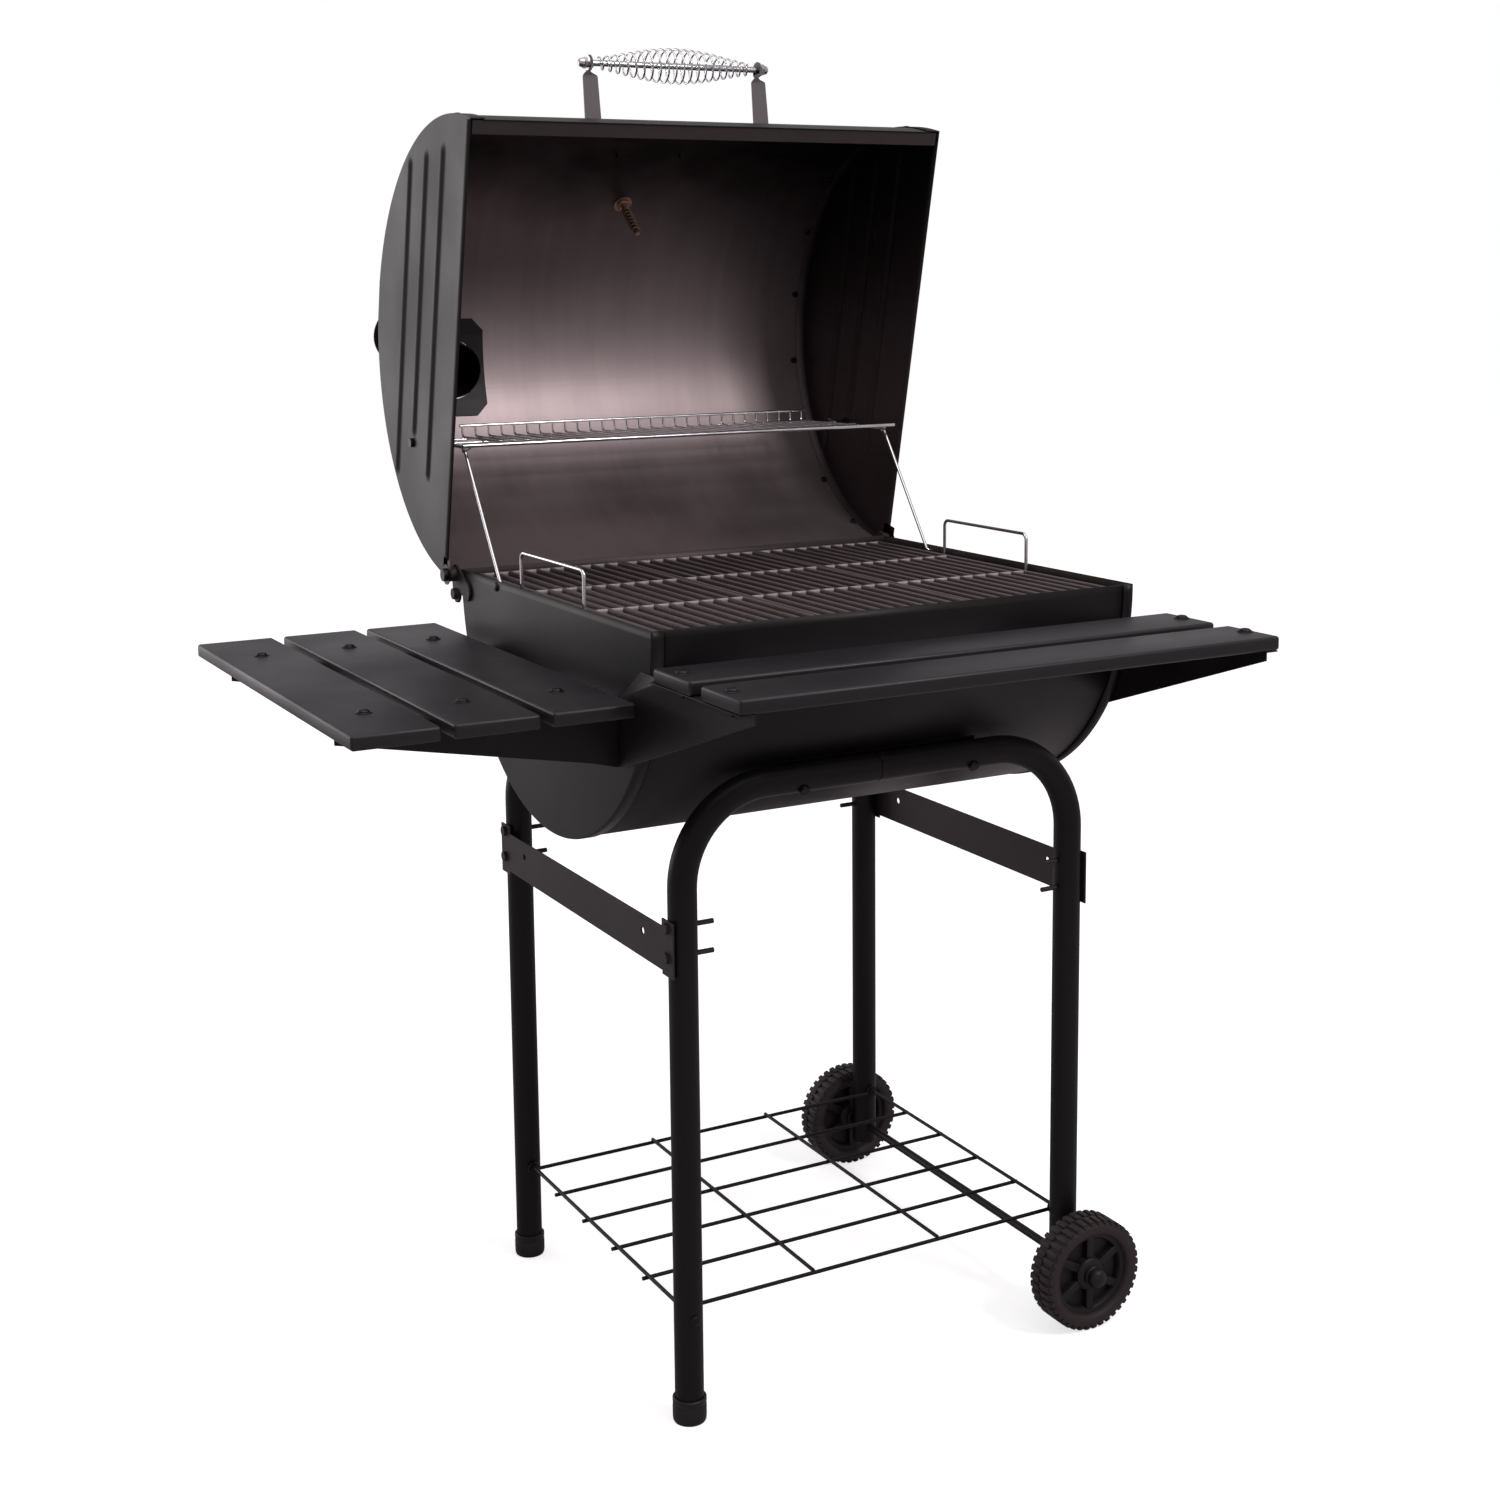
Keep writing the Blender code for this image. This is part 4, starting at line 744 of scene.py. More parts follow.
for depth, side_y in (("front", -1), ("rear", 1)):
    low, high = box_in(CART, f"wheel_{depth}")
    radius, half = (high.x - low.x) / 2, (high.y - low.y) / 2
    tread = radius - 0.0028
    centre = pivot_in(CART, f"wheel_{depth}_roll")
    space = CART @ Matrix.Translation(centre)
    rim = [
        (0.0485, -0.004), (0.0485, -half + 0.006), (0.0500, -half + 0.0025), (0.0520, -half + 0.001),
        (0.0575, -half), (0.0605, -half + 0.0008), (0.0630, -half + 0.004), (tread, -half + 0.0065),
        (tread, half - 0.0065), (0.0630, half - 0.004), (0.0605, half - 0.0008), (0.0575, half),
        (0.0520, half - 0.001), (0.0500, half - 0.0025), (0.0485, half - 0.006), (0.0485, 0.004),
    ]
    bm = bmesh.new()
    turned(bm, rim, axis=(0, 1, 0), steps=160)
    for side in (-1, 1):
        stagger = Matrix.Rotation(side * pi / LUGS / 2, 3, "Y")
        lug = bmesh.new()
        reach_y = sorted((side * 0.0012, side * (half - 0.0032)))
        block(lug, (-0.0031, 0.0031), reach_y, (tread - 0.002, radius), 0.0009)
        bmesh.ops.rotate(lug, cent=(0, 0, 0), matrix=stagger, verts=lug.verts)
        shoulder = bmesh.new()
        reach_y = sorted((side * (half - 0.0058), side * (half - 0.0010)))
        block(shoulder, (-0.0028, 0.0028), reach_y, (0.0585, radius - 0.0022), 0.0008)
        bmesh.ops.rotate(shoulder, cent=(0, 0, 0), matrix=stagger, verts=shoulder.verts)
        copies_round(bm, lug, LUGS)
        copies_round(bm, shoulder, LUGS)
    built(f"tyre_{depth}", bm, TREAD, f"wheel_{depth}", f"wheel_{depth}", space=space)
    bm = bmesh.new()
    web = [(0.0062, -0.0035), (0.049, -0.0035), (0.049, 0.0035), (0.0062, 0.0035)]
    turned(bm, web, axis=(0, 1, 0), steps=96)
    for side in (-1, 1):
        steps_out = [
            (0.0056, side * 0.003), (0.0056, side * half), (0.0105, side * half),
            (0.0120, side * (half - 0.0015)), (0.0125, side * (half - 0.005)),
            (0.0175, side * (half - 0.0065)), (0.0190, side * (half - 0.008)), (0.0200, side * 0.0035),
        ]
        turned(bm, steps_out, axis=(0, 1, 0), steps=64)
        spoke = bmesh.new()
        block(spoke, (-0.0048, 0.0048), sorted((side * 0.003, side * 0.0115)), (0.016, 0.0492), 0.0014, 3)
        copies_round(bm, spoke, SPOKES)
        inner_ring = [
            (0.0415, side * 0.003), (0.0420, side * 0.009), (0.0440, side * 0.0115), (0.0487, side * 0.0125)
        ]
        turned(bm, inner_ring, axis=(0, 1, 0), steps=96)
    built(f"web_{depth}", bm, WEB, f"wheel_{depth}", space=space)

# %% [markdown]
# ## Braces and the lower rack
# Two flat braces are bolted across each pair of legs. The lower rack is a mat of welded wires,
# six across and four along, that hangs from the legs by an eye and a bolt at each corner.

# %% Braces and saddles
for hand in ("left", "right"):
    from_part(f"brace_{hand}", COAT_STRAP, "cart", f"side_strap_{hand}", width=0.0004)
for depth in ("front", "rear"):
    from_part(f"saddle_pad_{depth}", COAT_TUBE, "cart", f"saddle_{depth}", width=0.0005)

# %% Lower rack
rack_low, rack_high = box_in(CART, "lower_rack")
WIRE = 0.00225
rack_z = (rack_low.z + rack_high.z) / 2
rack_y = 0.2055
LONG_WIRES, CROSS_WIRES = 6, 4
sunk = WIRE * 0.8  # welded wires sink a little into each other where they cross
bm = bmesh.new()
for i in range(LONG_WIRES):
    y, z = rack_y * (1 - 2 * i / (LONG_WIRES - 1)), rack_z - sunk
    round_stock(bm, [(rack_low.x + 0.002, y, z), (rack_high.x - 0.002, y, z)], WIRE, sides=14)
for i in range(CROSS_WIRES):
    x, z = LEG_X * (1 - 2 * i / (CROSS_WIRES - 1)), rack_z + sunk
    round_stock(bm, [(x, -rack_y - 0.001, z), (x, rack_y + 0.001, z)], WIRE, sides=14)
for side_x in (-1, 1):
    for side_y in (-1, 1):
        x, face = side_x * LEG_X, side_y * (LEG_Y + TUBE)
        ring = [(0.0036, -0.002), (0.0070, -0.002), (0.0080, 0)]
        ring += [(0.0070, 0.002), (0.0036, 0.002), (0.0036, -0.002)]
        turned(bm, ring, (x, side_y * rack_y, rack_z), (0, 1, 0), 32)
        round_stock(bm, [(x, side_y * rack_y, rack_z), (x, face, rack_z)], 0.003, sides=16)
        dome_head(bm, (x, face - side_y * 0.0006, rack_z), (0, side_y, 0), 0.0062, 0.0044)
        hex_head(bm, (x, side_y * (rack_y - 0.0022), rack_z), (0, -side_y, 0), 0.0052, 0.0030)
built("rack_mat", bm, COAT_TUBE, "cart", "lower_rack")

# %% [markdown]
# ## Firebox
# The firebox is half a barrel: a sheet rolled to a half circle and two pressed ends whose turned
# edge laps over it. One straight edge spun half a turn gives the sheet, and Solidify gives it
# two faces, so the inside can be seasoned steel while the outside is powder coat.

# %% Measures of the firebox
shell_low, shell_high = box_in(CART, "barrel_shell")
BARREL_R = (shell_high.y - shell_low.y) / 2
BARREL = Vector((0, (shell_low.y + shell_high.y) / 2, shell_low.z + BARREL_R))
RIM_Z = shell_high.z
RIM_TURN = (RIM_Z - BARREL.z) / BARREL_R
END_X = box_in(CART, "barrel_end_left")[0].x * -1


def swept_sheet(bm, half_x, radius, centre, start, angle, steps=96):
    """A sheet rolled about X: one straight edge spun round the middle of the barrel."""
    y, z = centre.y + radius * cos(start), centre.z + radius * sin(start)
    verts = [bm.verts.new((x, y, z)) for x in (-half_x, half_x)]
    edge = bm.edges.new(verts)
    swept = bmesh.ops.spin(bm, geom=verts + [edge], cent=centre, axis=(1, 0, 0), angle=angle, steps=steps)
    return edge, only(swept["geom_last"], bmesh.types.BMEdge)[0]


bm = bmesh.new()
swept_sheet(bm, shell_high.x, BARREL_R, BARREL, pi - RIM_TURN, pi + 2 * RIM_TURN)
SHEET = 0.001
walled(built("firebox_sheet", bm, (COAT, FIRE_STEEL), "cart", "barrel_shell"), SHEET, 1)


# %% Ends of the firebox
def flat_end(bm, face_x, radius, centre, start, angle, flange, steps=96):
    """A half disc whose round edge turns in as a flange, with a soft corner."""
    lone = bmesh.new()
    first = lone.verts.new((face_x, centre.y + radius * cos(start), centre.z + radius * sin(start)))
    middle = (face_x, centre.y, centre.z)
    bmesh.ops.spin(lone, geom=[first], cent=middle, axis=(1, 0, 0), angle=angle, steps=steps)
    rim = list(lone.edges)
    bmesh.ops.contextual_create(lone, geom=list(lone.verts))
    grown = bmesh.ops.extrude_edge_only(lone, edges=rim)["geom"]
    bmesh.ops.translate(lone, vec=(-flange if face_x > 0 else flange, 0, 0), verts=only(grown))
    bmesh.ops.bevel(
        lone, geom=rim, offset=0.0022, offset_type="OFFSET", segments=3,
        profile=0.5, affect="EDGES", material=-1,
    )
    merged(bm, lone)


for hand, side_x in (("left", -1), ("right", 1)):
    bm = bmesh.new()
    radius = BARREL_R + 0.0015
    flat_end(bm, side_x * END_X, radius, BARREL, pi - RIM_TURN, pi + 2 * RIM_TURN, 0.014)
    walled(built(f"firebox_end_{hand}", bm, (COAT, FIRE_STEEL), "cart", f"barrel_end_{hand}"), SHEET, 1)
    bm = bmesh.new()
    spot = (side_x * (END_X - 0.0002), BARREL.y + 0.149, BARREL.z - 0.004)
    dome_head(bm, spot, (side_x, 0, 0), 0.0055, 0.0032)
    built(f"firebox_bolts_{hand}", bm, BOLT, "cart")
from_part("air_damper_disc", COAT, "air_damper", "air_damper", width=0.0004)
from_part("hinge_arm_left", COAT_STRAP, "cart", "hinge_bracket_left", width=0.0005)
from_part("hinge_arm_right", COAT_STRAP, "cart", "hinge_bracket_right", width=0.0005)

# %% [markdown]
# ## Grates
# Three cast grates lie side by side on two ledges. A casting needs draft, so each bar is rounded
# along its top. The cross ribs carry a painted highlight, brighter than the bars, so they are a
# piece of their own with their own finish. One pierced plate would be quicker, and would lose
# the round edges.

# %% Ledges and cooking grates
for depth in ("front", "rear"):
    from_part(f"ledge_{depth}", FIRE_STEEL, "cart", f"grate_ledge_{depth}", width=0.0003)
BARS, RIBS = 11, 4
BAR, CROSS_RIB = 0.0062, 0.007
for hand in ("left", "middle", "right"):
    name = f"cooking_grate_{hand}"
    low, high = box_in(CART, name)
    pitch = (high.x - low.x - BAR) / (BARS - 1)
    bm = bmesh.new()
    for i in range(BARS):
        x = low.x + i * pitch
        block(bm, (x, x + BAR), (low.y, high.y), (low.z, high.z), 0.0021, 3)
    built(f"grate_{hand}", bm, IRON, name, name)
    # The cross ribs take the brighter iron, a painted highlight.
    bm = bmesh.new()
    for i in range(RIBS):
        y = low.y + 0.0005 + (high.y - low.y - 0.008) * i / (RIBS - 1)
        z = (low.z + 0.0004, high.z - 0.0004)
        block(bm, (low.x + 0.002, high.x - 0.002), (y, y + CROSS_RIB), z, 0.0022, 3)
    built(f"grate_ribs_{hand}", bm, RIB_IRON_HIGHLIT, name)

# %% [markdown]
# ## Charcoal tray
# The coal lies on a welded wire grate. Its two chromed loops stand up through the gap beside the
# cooking grates, so it can be lifted out when hot.

# %% Coal grate and its loops
low, high = box_in(CART, "charcoal_grate")
coal_z = pivot_in(CART, "charcoal_lift").z
bm = bmesh.new()
for side_x in (-1, 1):
    x = side_x * (high.x - 0.004)
    block(bm, (x - 0.004, x + 0.004), (low.y, high.y), (coal_z - 0.005, coal_z + 0.005), 0.001)
for i in range(11):
    y = low.y + 0.010 + (high.y - low.y - 0.020) * i / 10
    round_stock(bm, [(low.x + 0.003, y, coal_z), (high.x - 0.003, y, coal_z)], 0.003, sides=14)
for x in (-0.12, 0.12):
    z = (coal_z - 0.0055, coal_z - 0.001)
    block(bm, (x - 0.003, x + 0.003), (low.y + 0.005, high.y - 0.005), z, 0.0006)
built("coal_grate", bm, FIRE_STEEL, "charcoal_tray", "charcoal_grate")
for hand in ("left", "right"):
    low, high = box_in(CART, f"lift_handle_{hand}")
    x, wire = (low.x + high.x) / 2, (high.x - low.x) / 2
    bm = bmesh.new()
    near, far, top = low.y + wire, high.y - wire, high.z - wire
    loop = [(x, near, low.z), (x, near, top), (x, far, top), (x, far, low.z)]
    round_stock(bm, loop, wire, bend=0.008, sides=20, steps=10)
    built(f"lift_loop_{hand}", bm, CHROME, "charcoal_tray", f"lift_handle_{hand}")

# %% [markdown]
# ## Lid
# The lid is drawn shut. Its ends are pressed with three long ribs: a plain half disc would need
# the ribs cut into it, so the end starts as a square grid whose rows are drawn in to the half
# circle. Every row then runs along the ribs, and raising rows gives their soft shoulders.

# %% Measures of the lid
low, high = box_in(LID, "lid_shell")
LID_SHELL_R = (high.y - low.y) / 2
LID_MID = Vector((0, (low.y + high.y) / 2, high.z - LID_SHELL_R))
SKIRT = LID_MID.z - low.z
LID_R = LID_SHELL_R + 0.0015
LID_X = 0.318
LID_FLANGE = 0.018


def lid_place(radius, angle, x=0.0):
    """A point by its distance from the middle of the half circle and its angle from the hinge side."""
    return Vector((x, LID_MID.y + radius * cos(angle), LID_MID.z + radius * sin(angle)))


# %% Lid sheet
bm = bmesh.new()
first, last = swept_sheet(bm, high.x, LID_SHELL_R, LID_MID, 0.0, pi, steps=128)
for edge in (first, last):
    pushed(bm, [edge], (0, 0, -SKIRT))
lid_sheet = built("lid_sheet", bm, (COAT, LID_STEEL), "lid", "lid_shell", space=LID)
walled(lid_sheet, SHEET, 1)
chimney_axis = box_in(LID, "chimney_pipe")
chimney_x = (chimney_axis[0].x + chimney_axis[1].x) / 2
CHIMNEY_R = (chimney_axis[1].x - chimney_axis[0].x) / 2
chimney_y = chimney_axis[0].y + CHIMNEY_R
hole = [LID @ Vector((chimney_x, chimney_y, z)) for z in (0.2, 0.33)]
drilled(lid_sheet, [(*hole, CHIMNEY_R + 0.0005)])

# %% Lid ends with pressed ribs
RIBS_UP = [level - LID_MID.z for level in (0.080, 0.135, 0.190)]
RIB_ENDS = ((-0.105, -0.500), (-0.145, -0.483), (-0.080, -0.466))
RIB_HALF, RIB_RISE = 0.0105, 0.0034


def rib_height(y, z):
    """How far the pressing stands out at a point of the end, from 0 to 1."""
    best = 0.0
    for level, (near, far) in zip(RIBS_UP, RIB_ENDS):
        past = max(y - (near - LID_MID.y), (far - LID_MID.y) - y, 0.0)
        away = ((z - level) ** 2 + past ** 2) ** 0.5
        if away < RIB_HALF:
            best = max(best, 0.5 + 0.5 * cos(pi * away / RIB_HALF))
    return best


for hand, side_x in (("left", -1), ("right", 1)):
    bm = bmesh.new()
    bmesh.ops.create_grid(bm, x_segments=150, y_segments=170, size=1.0)
    for vert in bm.verts:
        up = (LID_R - 0.001) * (vert.co.y + 1) / 2
        along = vert.co.x * (LID_R ** 2 - up ** 2) ** 0.5
        vert.co = (side_x * RIB_RISE * rib_height(along, up), along, up)
    arc = [edge for edge in bm.edges if edge.is_boundary and max(v.co.z for v in edge.verts) > 0.0005]
    grown = pushed(bm, arc, (-side_x * LID_FLANGE, 0, 0))
    bottom = [
        edge for edge in bm.edges
        if edge.is_boundary and max(abs(v.co.z) for v in edge.verts) < 0.0005 and edge not in grown
    ]
    pushed(bm, bottom, (0, 0, -SKIRT))
    bmesh.ops.translate(bm, vec=(side_x * LID_X, LID_MID.y, LID_MID.z), verts=bm.verts)
    looks, node_name = (COAT, END_STEEL_SHADED), f"lid_end_{hand}"
    piece = built(f"lid_end_pressed_{hand}", bm, looks, "lid", node_name, space=LID, merge=1e-5)
    eased(piece, 0.0016, 3, 50)
    walled(piece, SHEET, 1)
    bm = bmesh.new()
    block(bm, sorted((side_x * (LID_X - SHEET), side_x * LID_X)), (-0.020, 0.0), (-0.0125, 0.0125), 0.0003)
    ear = [(0, 0), (0.0125, 0), (0.0125, SHEET), (0, SHEET)]
    turned(bm, ear, (side_x * (LID_X - 0.0005), 0, 0), (side_x, 0, 0), 40)
    dome_head(bm, (side_x * (LID_X + 0.0003), 0, 0), (side_x, 0, 0), 0.0080, 0.0052, 32)
    for i in range(9):
        spot = lid_place(LID_R - 0.0005, pi * (0.06 + 0.88 * i / 8), side_x * (LID_X - 0.009))
        dome_head(bm, spot, (spot - lid_place(0, 0, spot.x)), 0.0042, 0.0016, 20)
        inner = lid_place(LID_SHELL_R - 0.001, pi * (0.06 + 0.88 * i / 8), side_x * (LID_X - 0.020))
        hex_head(bm, inner, lid_place(0, 0, inner.x) - inner, 0.0046, 0.0035)
    built(f"lid_fixings_{hand}", bm, BOLT, "lid", space=LID)
# The lip takes the lighter strap coat as a painted highlight along its front-facing strip.
lip = from_part("lid_lip_strip", COAT_STRAP, "lid", "lid_lip", width=0.0003)
LIP_STRETCH = 1.045  # out over the turned edges of the lid's ends
lip_low, lip_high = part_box("lid_lip")
lip_mid = Matrix.Translation(((lip_low[0] + lip_high[0]) / 2, 0, 0))
lip.data.transform(lip_mid @ Matrix.Diagonal((LIP_STRETCH, 1, 1, 1)) @ lip_mid.inverted())
for hand, side_x in (("left", -1), ("right", 1)):
    from_part(f"hinge_pin_steel_{hand}", BOLT, "cart", f"hinge_pin_{hand}", width=0.0004)
    from_part(f"rack_bolt_{hand}", BOLT, "lid", f"rack_pivot_{hand}", width=0.0004)

# %% [markdown]
# ## Chimney
# A short pipe leaves the back of the lid through a curved plate, and a disc swivels over its end.
# The pipe is a profile spun a full turn, with its rolled bead in the profile. The plate is copied
# as packed, and its four corners are cut off by planes, because it is already curved and bored.

# %% Pipe, plate and swivelling cap
pipe_top, pipe_low = chimney_axis[1].z, chimney_axis[0].z
inner, bead = CHIMNEY_R - SHEET, CHIMNEY_R + 0.0011
wall = [
    (inner, pipe_low), (CHIMNEY_R, pipe_low), (CHIMNEY_R, pipe_top - 0.0115), (bead, pipe_top - 0.0105),
    (bead, pipe_top - 0.0085), (CHIMNEY_R, pipe_top - 0.0075), (CHIMNEY_R, pipe_top),
    (inner, pipe_top), (inner, pipe_low),
]
bm = bmesh.new()
turned(bm, wall, (chimney_x, chimney_y, 0), steps=96)
lug_y = (chimney_y + CHIMNEY_R - 0.0004, chimney_y + CHIMNEY_R + 0.009)
block(bm, (chimney_x - 0.005, chimney_x + 0.005), lug_y, (pipe_top - 0.012, pipe_top - 0.001), 0.0008)
built("chimney", bm, COAT, "lid", "chimney_pipe", space=LID)
CORNER_CUT = 0.011
low, high = box_in(LID, "chimney_flange")
near_turn = atan2(low.z - LID_MID.z, high.y - LID_MID.y)
far_turn = atan2(high.z - LID_MID.z, low.y - LID_MID.y)
bm = bmesh.new()
bm.from_mesh(frame["nodes"]["chimney_flange"].data)
bmesh.ops.remove_doubles(bm, verts=bm.verts, dist=2e-5)
bmesh.ops.transform(bm, matrix=LID.inverted(), verts=bm.verts)
for angle, way in ((near_turn, -1), (far_turn, 1)):
    for side_x, x in ((-1, low.x), (1, high.x)):
        across = Vector((side_x, -way * sin(angle), way * cos(angle))).normalized()
        corner = lid_place(LID_SHELL_R, angle, x)
        everything = bm.verts[:] + bm.edges[:] + bm.faces[:]
        cut = bmesh.ops.bisect_plane(
            bm, geom=everything, plane_co=corner - across * CORNER_CUT, plane_no=across, clear_outer=True
        )["geom_cut"]
        bmesh.ops.holes_fill(bm, edges=only(cut, bmesh.types.BMEdge))
built("chimney_plate", bm, COAT, "lid", "chimney_flange", space=LID)
swivel = pivot_in(LID, "chimney_cap_swivel")
bm = bmesh.new()
disc = [(0, 0.0030), (0.036, 0.0030), (0.038, 0.0036), (0.040, 0.0030)]
disc += [(0.0430, 0.0027), (0.0430, 0.0012), (0.0425, 0.0010), (0, 0.0010)]
turned(bm, disc, swivel + Vector((0, -CHIMNEY_R - 0.005, 0)), steps=96)
arm_y, arm_z = (swivel.y - 0.014, swivel.y + 0.004), (swivel.z + 0.0011, swivel.z + 0.0029)
block(bm, (swivel.x - 0.005, swivel.x + 0.005), arm_y, arm_z, 0.0004)
dome_head(bm, swivel + Vector((0, 0, 0.0026)), (0, 0, 1), 0.0038, 0.0022)
round_stock(bm, [swivel + Vector((0, 0, -0.0145)), swivel], 0.0018, sides=16)
hex_head(bm, swivel + Vector((0, 0, -0.0130)), (0, 0, -1), 0.0038, 0.0030)
knob = [(0, 0), (0.0034, 0.0), (0.0034, 0.001), (0.0042, 0.0022), (0.0040, 0.0034), (0, 0.0038)]
turned(bm, knob, swivel + Vector((0, -2 * CHIMNEY_R, 0.0028)), steps=24)
built("chimney_disc", bm, COAT, "chimney_cap", "chimney_cap", space=LID)

# %% [markdown]
# ## Handle
# The grip is a chromed coil that widens in the middle, so it sheds heat, wound round a rod held
# by two straps. The coil is one wire ring spun twenty turns while it travels, and then each of
# its points is moved in or out to give the belly.

# %% Straps and rod
rod_low, rod_high = box_in(LID, "handle_rod")
strap_low, strap_high = box_in(LID, "handle_strap_left")
GRIP_X = -(strap_low.x + strap_high.x) / 2
grip_mid = (rod_low + rod_high) / 2
out = (grip_mid - LID_MID)
out.x = 0
GRIP_LEVEL = out.length
GRIP = LID @ Matrix.Translation(LID_MID) @ Matrix.Rotation(atan2(out.z, out.y) - pi / 2, 4, "X")
base = LID_SHELL_R + 0.0003
for hand, side_x in (("left", -1), ("right", 1)):
    x = side_x * GRIP_X
    lone = bmesh.new()
    bmesh.ops.create_cube(lone, size=1.0)
    bmesh.ops.scale(lone, vec=(0.021, 0.003, 1.0), verts=lone.verts)
    rails = [edge for edge in lone.edges if abs(edge.verts[0].co.z - edge.verts[1].co.z) > 0.5]
    bmesh.ops.subdivide_edges(lone, edges=rails, cuts=40, use_grid_fill=True)
    for vert in lone.verts:
        t = vert.co.z + 0.5
        twist = max(0.0, min(1.0, (t - 0.80) / 0.13))
        narrow = 1.0 - 0.12 * t
        vert.co = Matrix.Rotation(twist * pi / 2, 3, "Z") @ Vector((vert.co.x * narrow, vert.co.y, 0.0))
        vert.co += Vector((x, 0, base + t * (GRIP_LEVEL - base - 0.002)))
    bm = bmesh.new()
    merged(bm, lone)
    ear = bmesh.new()
    ring = [(0.0041, -0.0015), (0.0090, -0.0015), (0.0098, -0.0009), (0.0098, 0.0009)]
    ring += [(0.0090, 0.0015), (0.0041, 0.0015), (0.0041, -0.0015)]
    turned(ear, ring, (x, 0, GRIP_LEVEL), (1, 0, 0), 40)
    merged(bm, ear)
    block(bm, (x - 0.0105, x + 0.0105), (-0.0015, 0.020), (base, base + 0.003), 0.0008)
    dome_head(bm, (x, 0.012, base + 0.0028), (0, 0, 1), 0.0052, 0.0032)
    hex_head(bm, (x, 0.0, base - 0.0015), (0, 0, -1), 0.0048, 0.0040)
    built(f"grip_strap_{hand}", bm, COAT_GRIP_PALE, "lid", f"handle_strap_{hand}", space=GRIP)

bm = bmesh.new()
reach = rod_high.x
round_stock(bm, [(-reach + 0.004, 0, GRIP_LEVEL), (reach - 0.004, 0, GRIP_LEVEL)], 0.0038, sides=28)
for side_x in (-1, 1):
    seat = side_x * (GRIP_X + 0.0019)
    flat = [(0, 0), (0.0088, 0), (0.0092, 0.0004), (0.0088, 0.0009), (0, 0.0009)]
    turned(bm, flat, (seat, 0, GRIP_LEVEL), (side_x, 0, 0), 32)
    hex_head(bm, (seat + side_x * 0.0008, 0, GRIP_LEVEL), (side_x, 0, 0), 0.0075, 0.0058)
    acorn = [(0, 0), (0.0060, 0), (0.0058, 0.002), (0.0048, 0.0048), (0.0028, 0.0064), (0, 0.0068)]
    turned(bm, acorn, (seat + side_x * 0.0062, 0, GRIP_LEVEL), (side_x, 0, 0), 28)
built("grip_rod", bm, CHROME, "lid", "handle_rod", space=GRIP)

# %% Coil
TURNS = 20
coil_low, coil_high = box_in(LID, "handle_coil")
half = (coil_high.x - coil_low.x) / 2 - 0.0013
neck, belly = 0.0068, 0.0208
bm = bmesh.new()
upright = Matrix.Translation((-half, 0, neck)) @ Matrix.Rotation(pi / 2, 4, "X")
ring = bmesh.ops.create_circle(bm, segments=8, radius=0.00128, matrix=upright)["verts"]
edges = list({edge for vert in ring for edge in vert.link_edges})
bmesh.ops.edgeloop_fill(bm, edges=edges)
steps = TURNS * 28
swept = bmesh.ops.spin(
    bm, geom=edges + ring, cent=(0, 0, 0), axis=(1, 0, 0), dvec=(2 * half / steps, 0, 0),
    angle=2 * pi * TURNS, steps=steps,
)["geom_last"]
bmesh.ops.edgeloop_fill(bm, edges=only(swept, bmesh.types.BMEdge))
for vert in bm.verts:
    along = min(1.0, max(0.0, (vert.co.x + half) / (2 * half)))
    radial = Vector((0, vert.co.y, vert.co.z))
    vert.co += radial.normalized() * (belly - neck) * sin(pi * along) ** 1.3
bmesh.ops.translate(bm, vec=(0, 0, GRIP_LEVEL), verts=bm.verts)
built("grip_coil", bm, CHROME, "lid", "handle_coil", space=GRIP, sharp=60)

# %% [markdown]
# ## Thermometer
# A plated case with a white dial sits in the front of the lid. Its stem reaches inside, where a
# brass bimetal coil turns the needle. Only the stem and coil show while the lid is open.

# %% Case, dial, lens, stem and needle
needle = pivot_in(LID, "needle_turn")
radial = needle - LID_MID
radial.x = 0
GAUGE = LID @ Matrix.Translation(LID_MID) @ Matrix.Rotation(atan2(radial.z, radial.y) - pi / 2, 4, "X")
base = LID_SHELL_R + 0.0005
case = [
    (0, base), (0.022, base), (0.0240, base + 0.0025), (0.0245, base + 0.0045), (0.0245, base + 0.0115),
    (0.0239, base + 0.0130), (0.0226, base + 0.0135), (0.0216, base + 0.0129), (0.0215, base + 0.0085),
    (0, base + 0.0085),
]
bm = bmesh.new()
turned(bm, case, steps=80)
built("gauge_case", bm, ZINC, "lid", "thermometer_case", space=GAUGE)
bm = bmesh.new()
face = [(0, base + 0.0086), (0.0212, base + 0.0086), (0.0212, base + 0.0090), (0, base + 0.0090)]
turned(bm, face, steps=64)
built("gauge_dial", bm, DIAL, "lid", space=GAUGE)
bm = bmesh.new()
for i in range(31):
    half, inner = (0.00035, 0.0165) if i % 6 == 0 else (0.0002, 0.0182)
    tick = bmesh.new()
    block(tick, (-half, half), (inner, 0.0200), (base + 0.0090, base + 0.00915))
    turn = Matrix.Rotation(radians(120 - 8 * i), 3, "Z")
    bmesh.ops.rotate(tick, cent=(0, 0, 0), matrix=turn, verts=tick.verts)
    merged(bm, tick)
for i in range(6):
    turn = radians(120 - 48 * i)
    label = bpy.data.curves.new("number", "FONT")
    label.body = str(100 * (i + 1))
    label.size = 0.0042
    label.align_x, label.align_y = "CENTER", "CENTER"
    text = bpy.data.objects.new("number", label)
    scene.collection.objects.link(text)
    bpy.context.view_layer.update()
    flat = bpy.data.meshes.new_from_object(text.evaluated_get(bpy.context.evaluated_depsgraph_get()))
    flat.transform(Matrix.Translation((-sin(turn) * 0.0132, cos(turn) * 0.0132, base + 0.00912)))
    bm.from_mesh(flat)
    bpy.data.objects.remove(text)
built("gauge_marks", bm, INK, "lid", space=GAUGE, flip=False)
bm = bmesh.new()
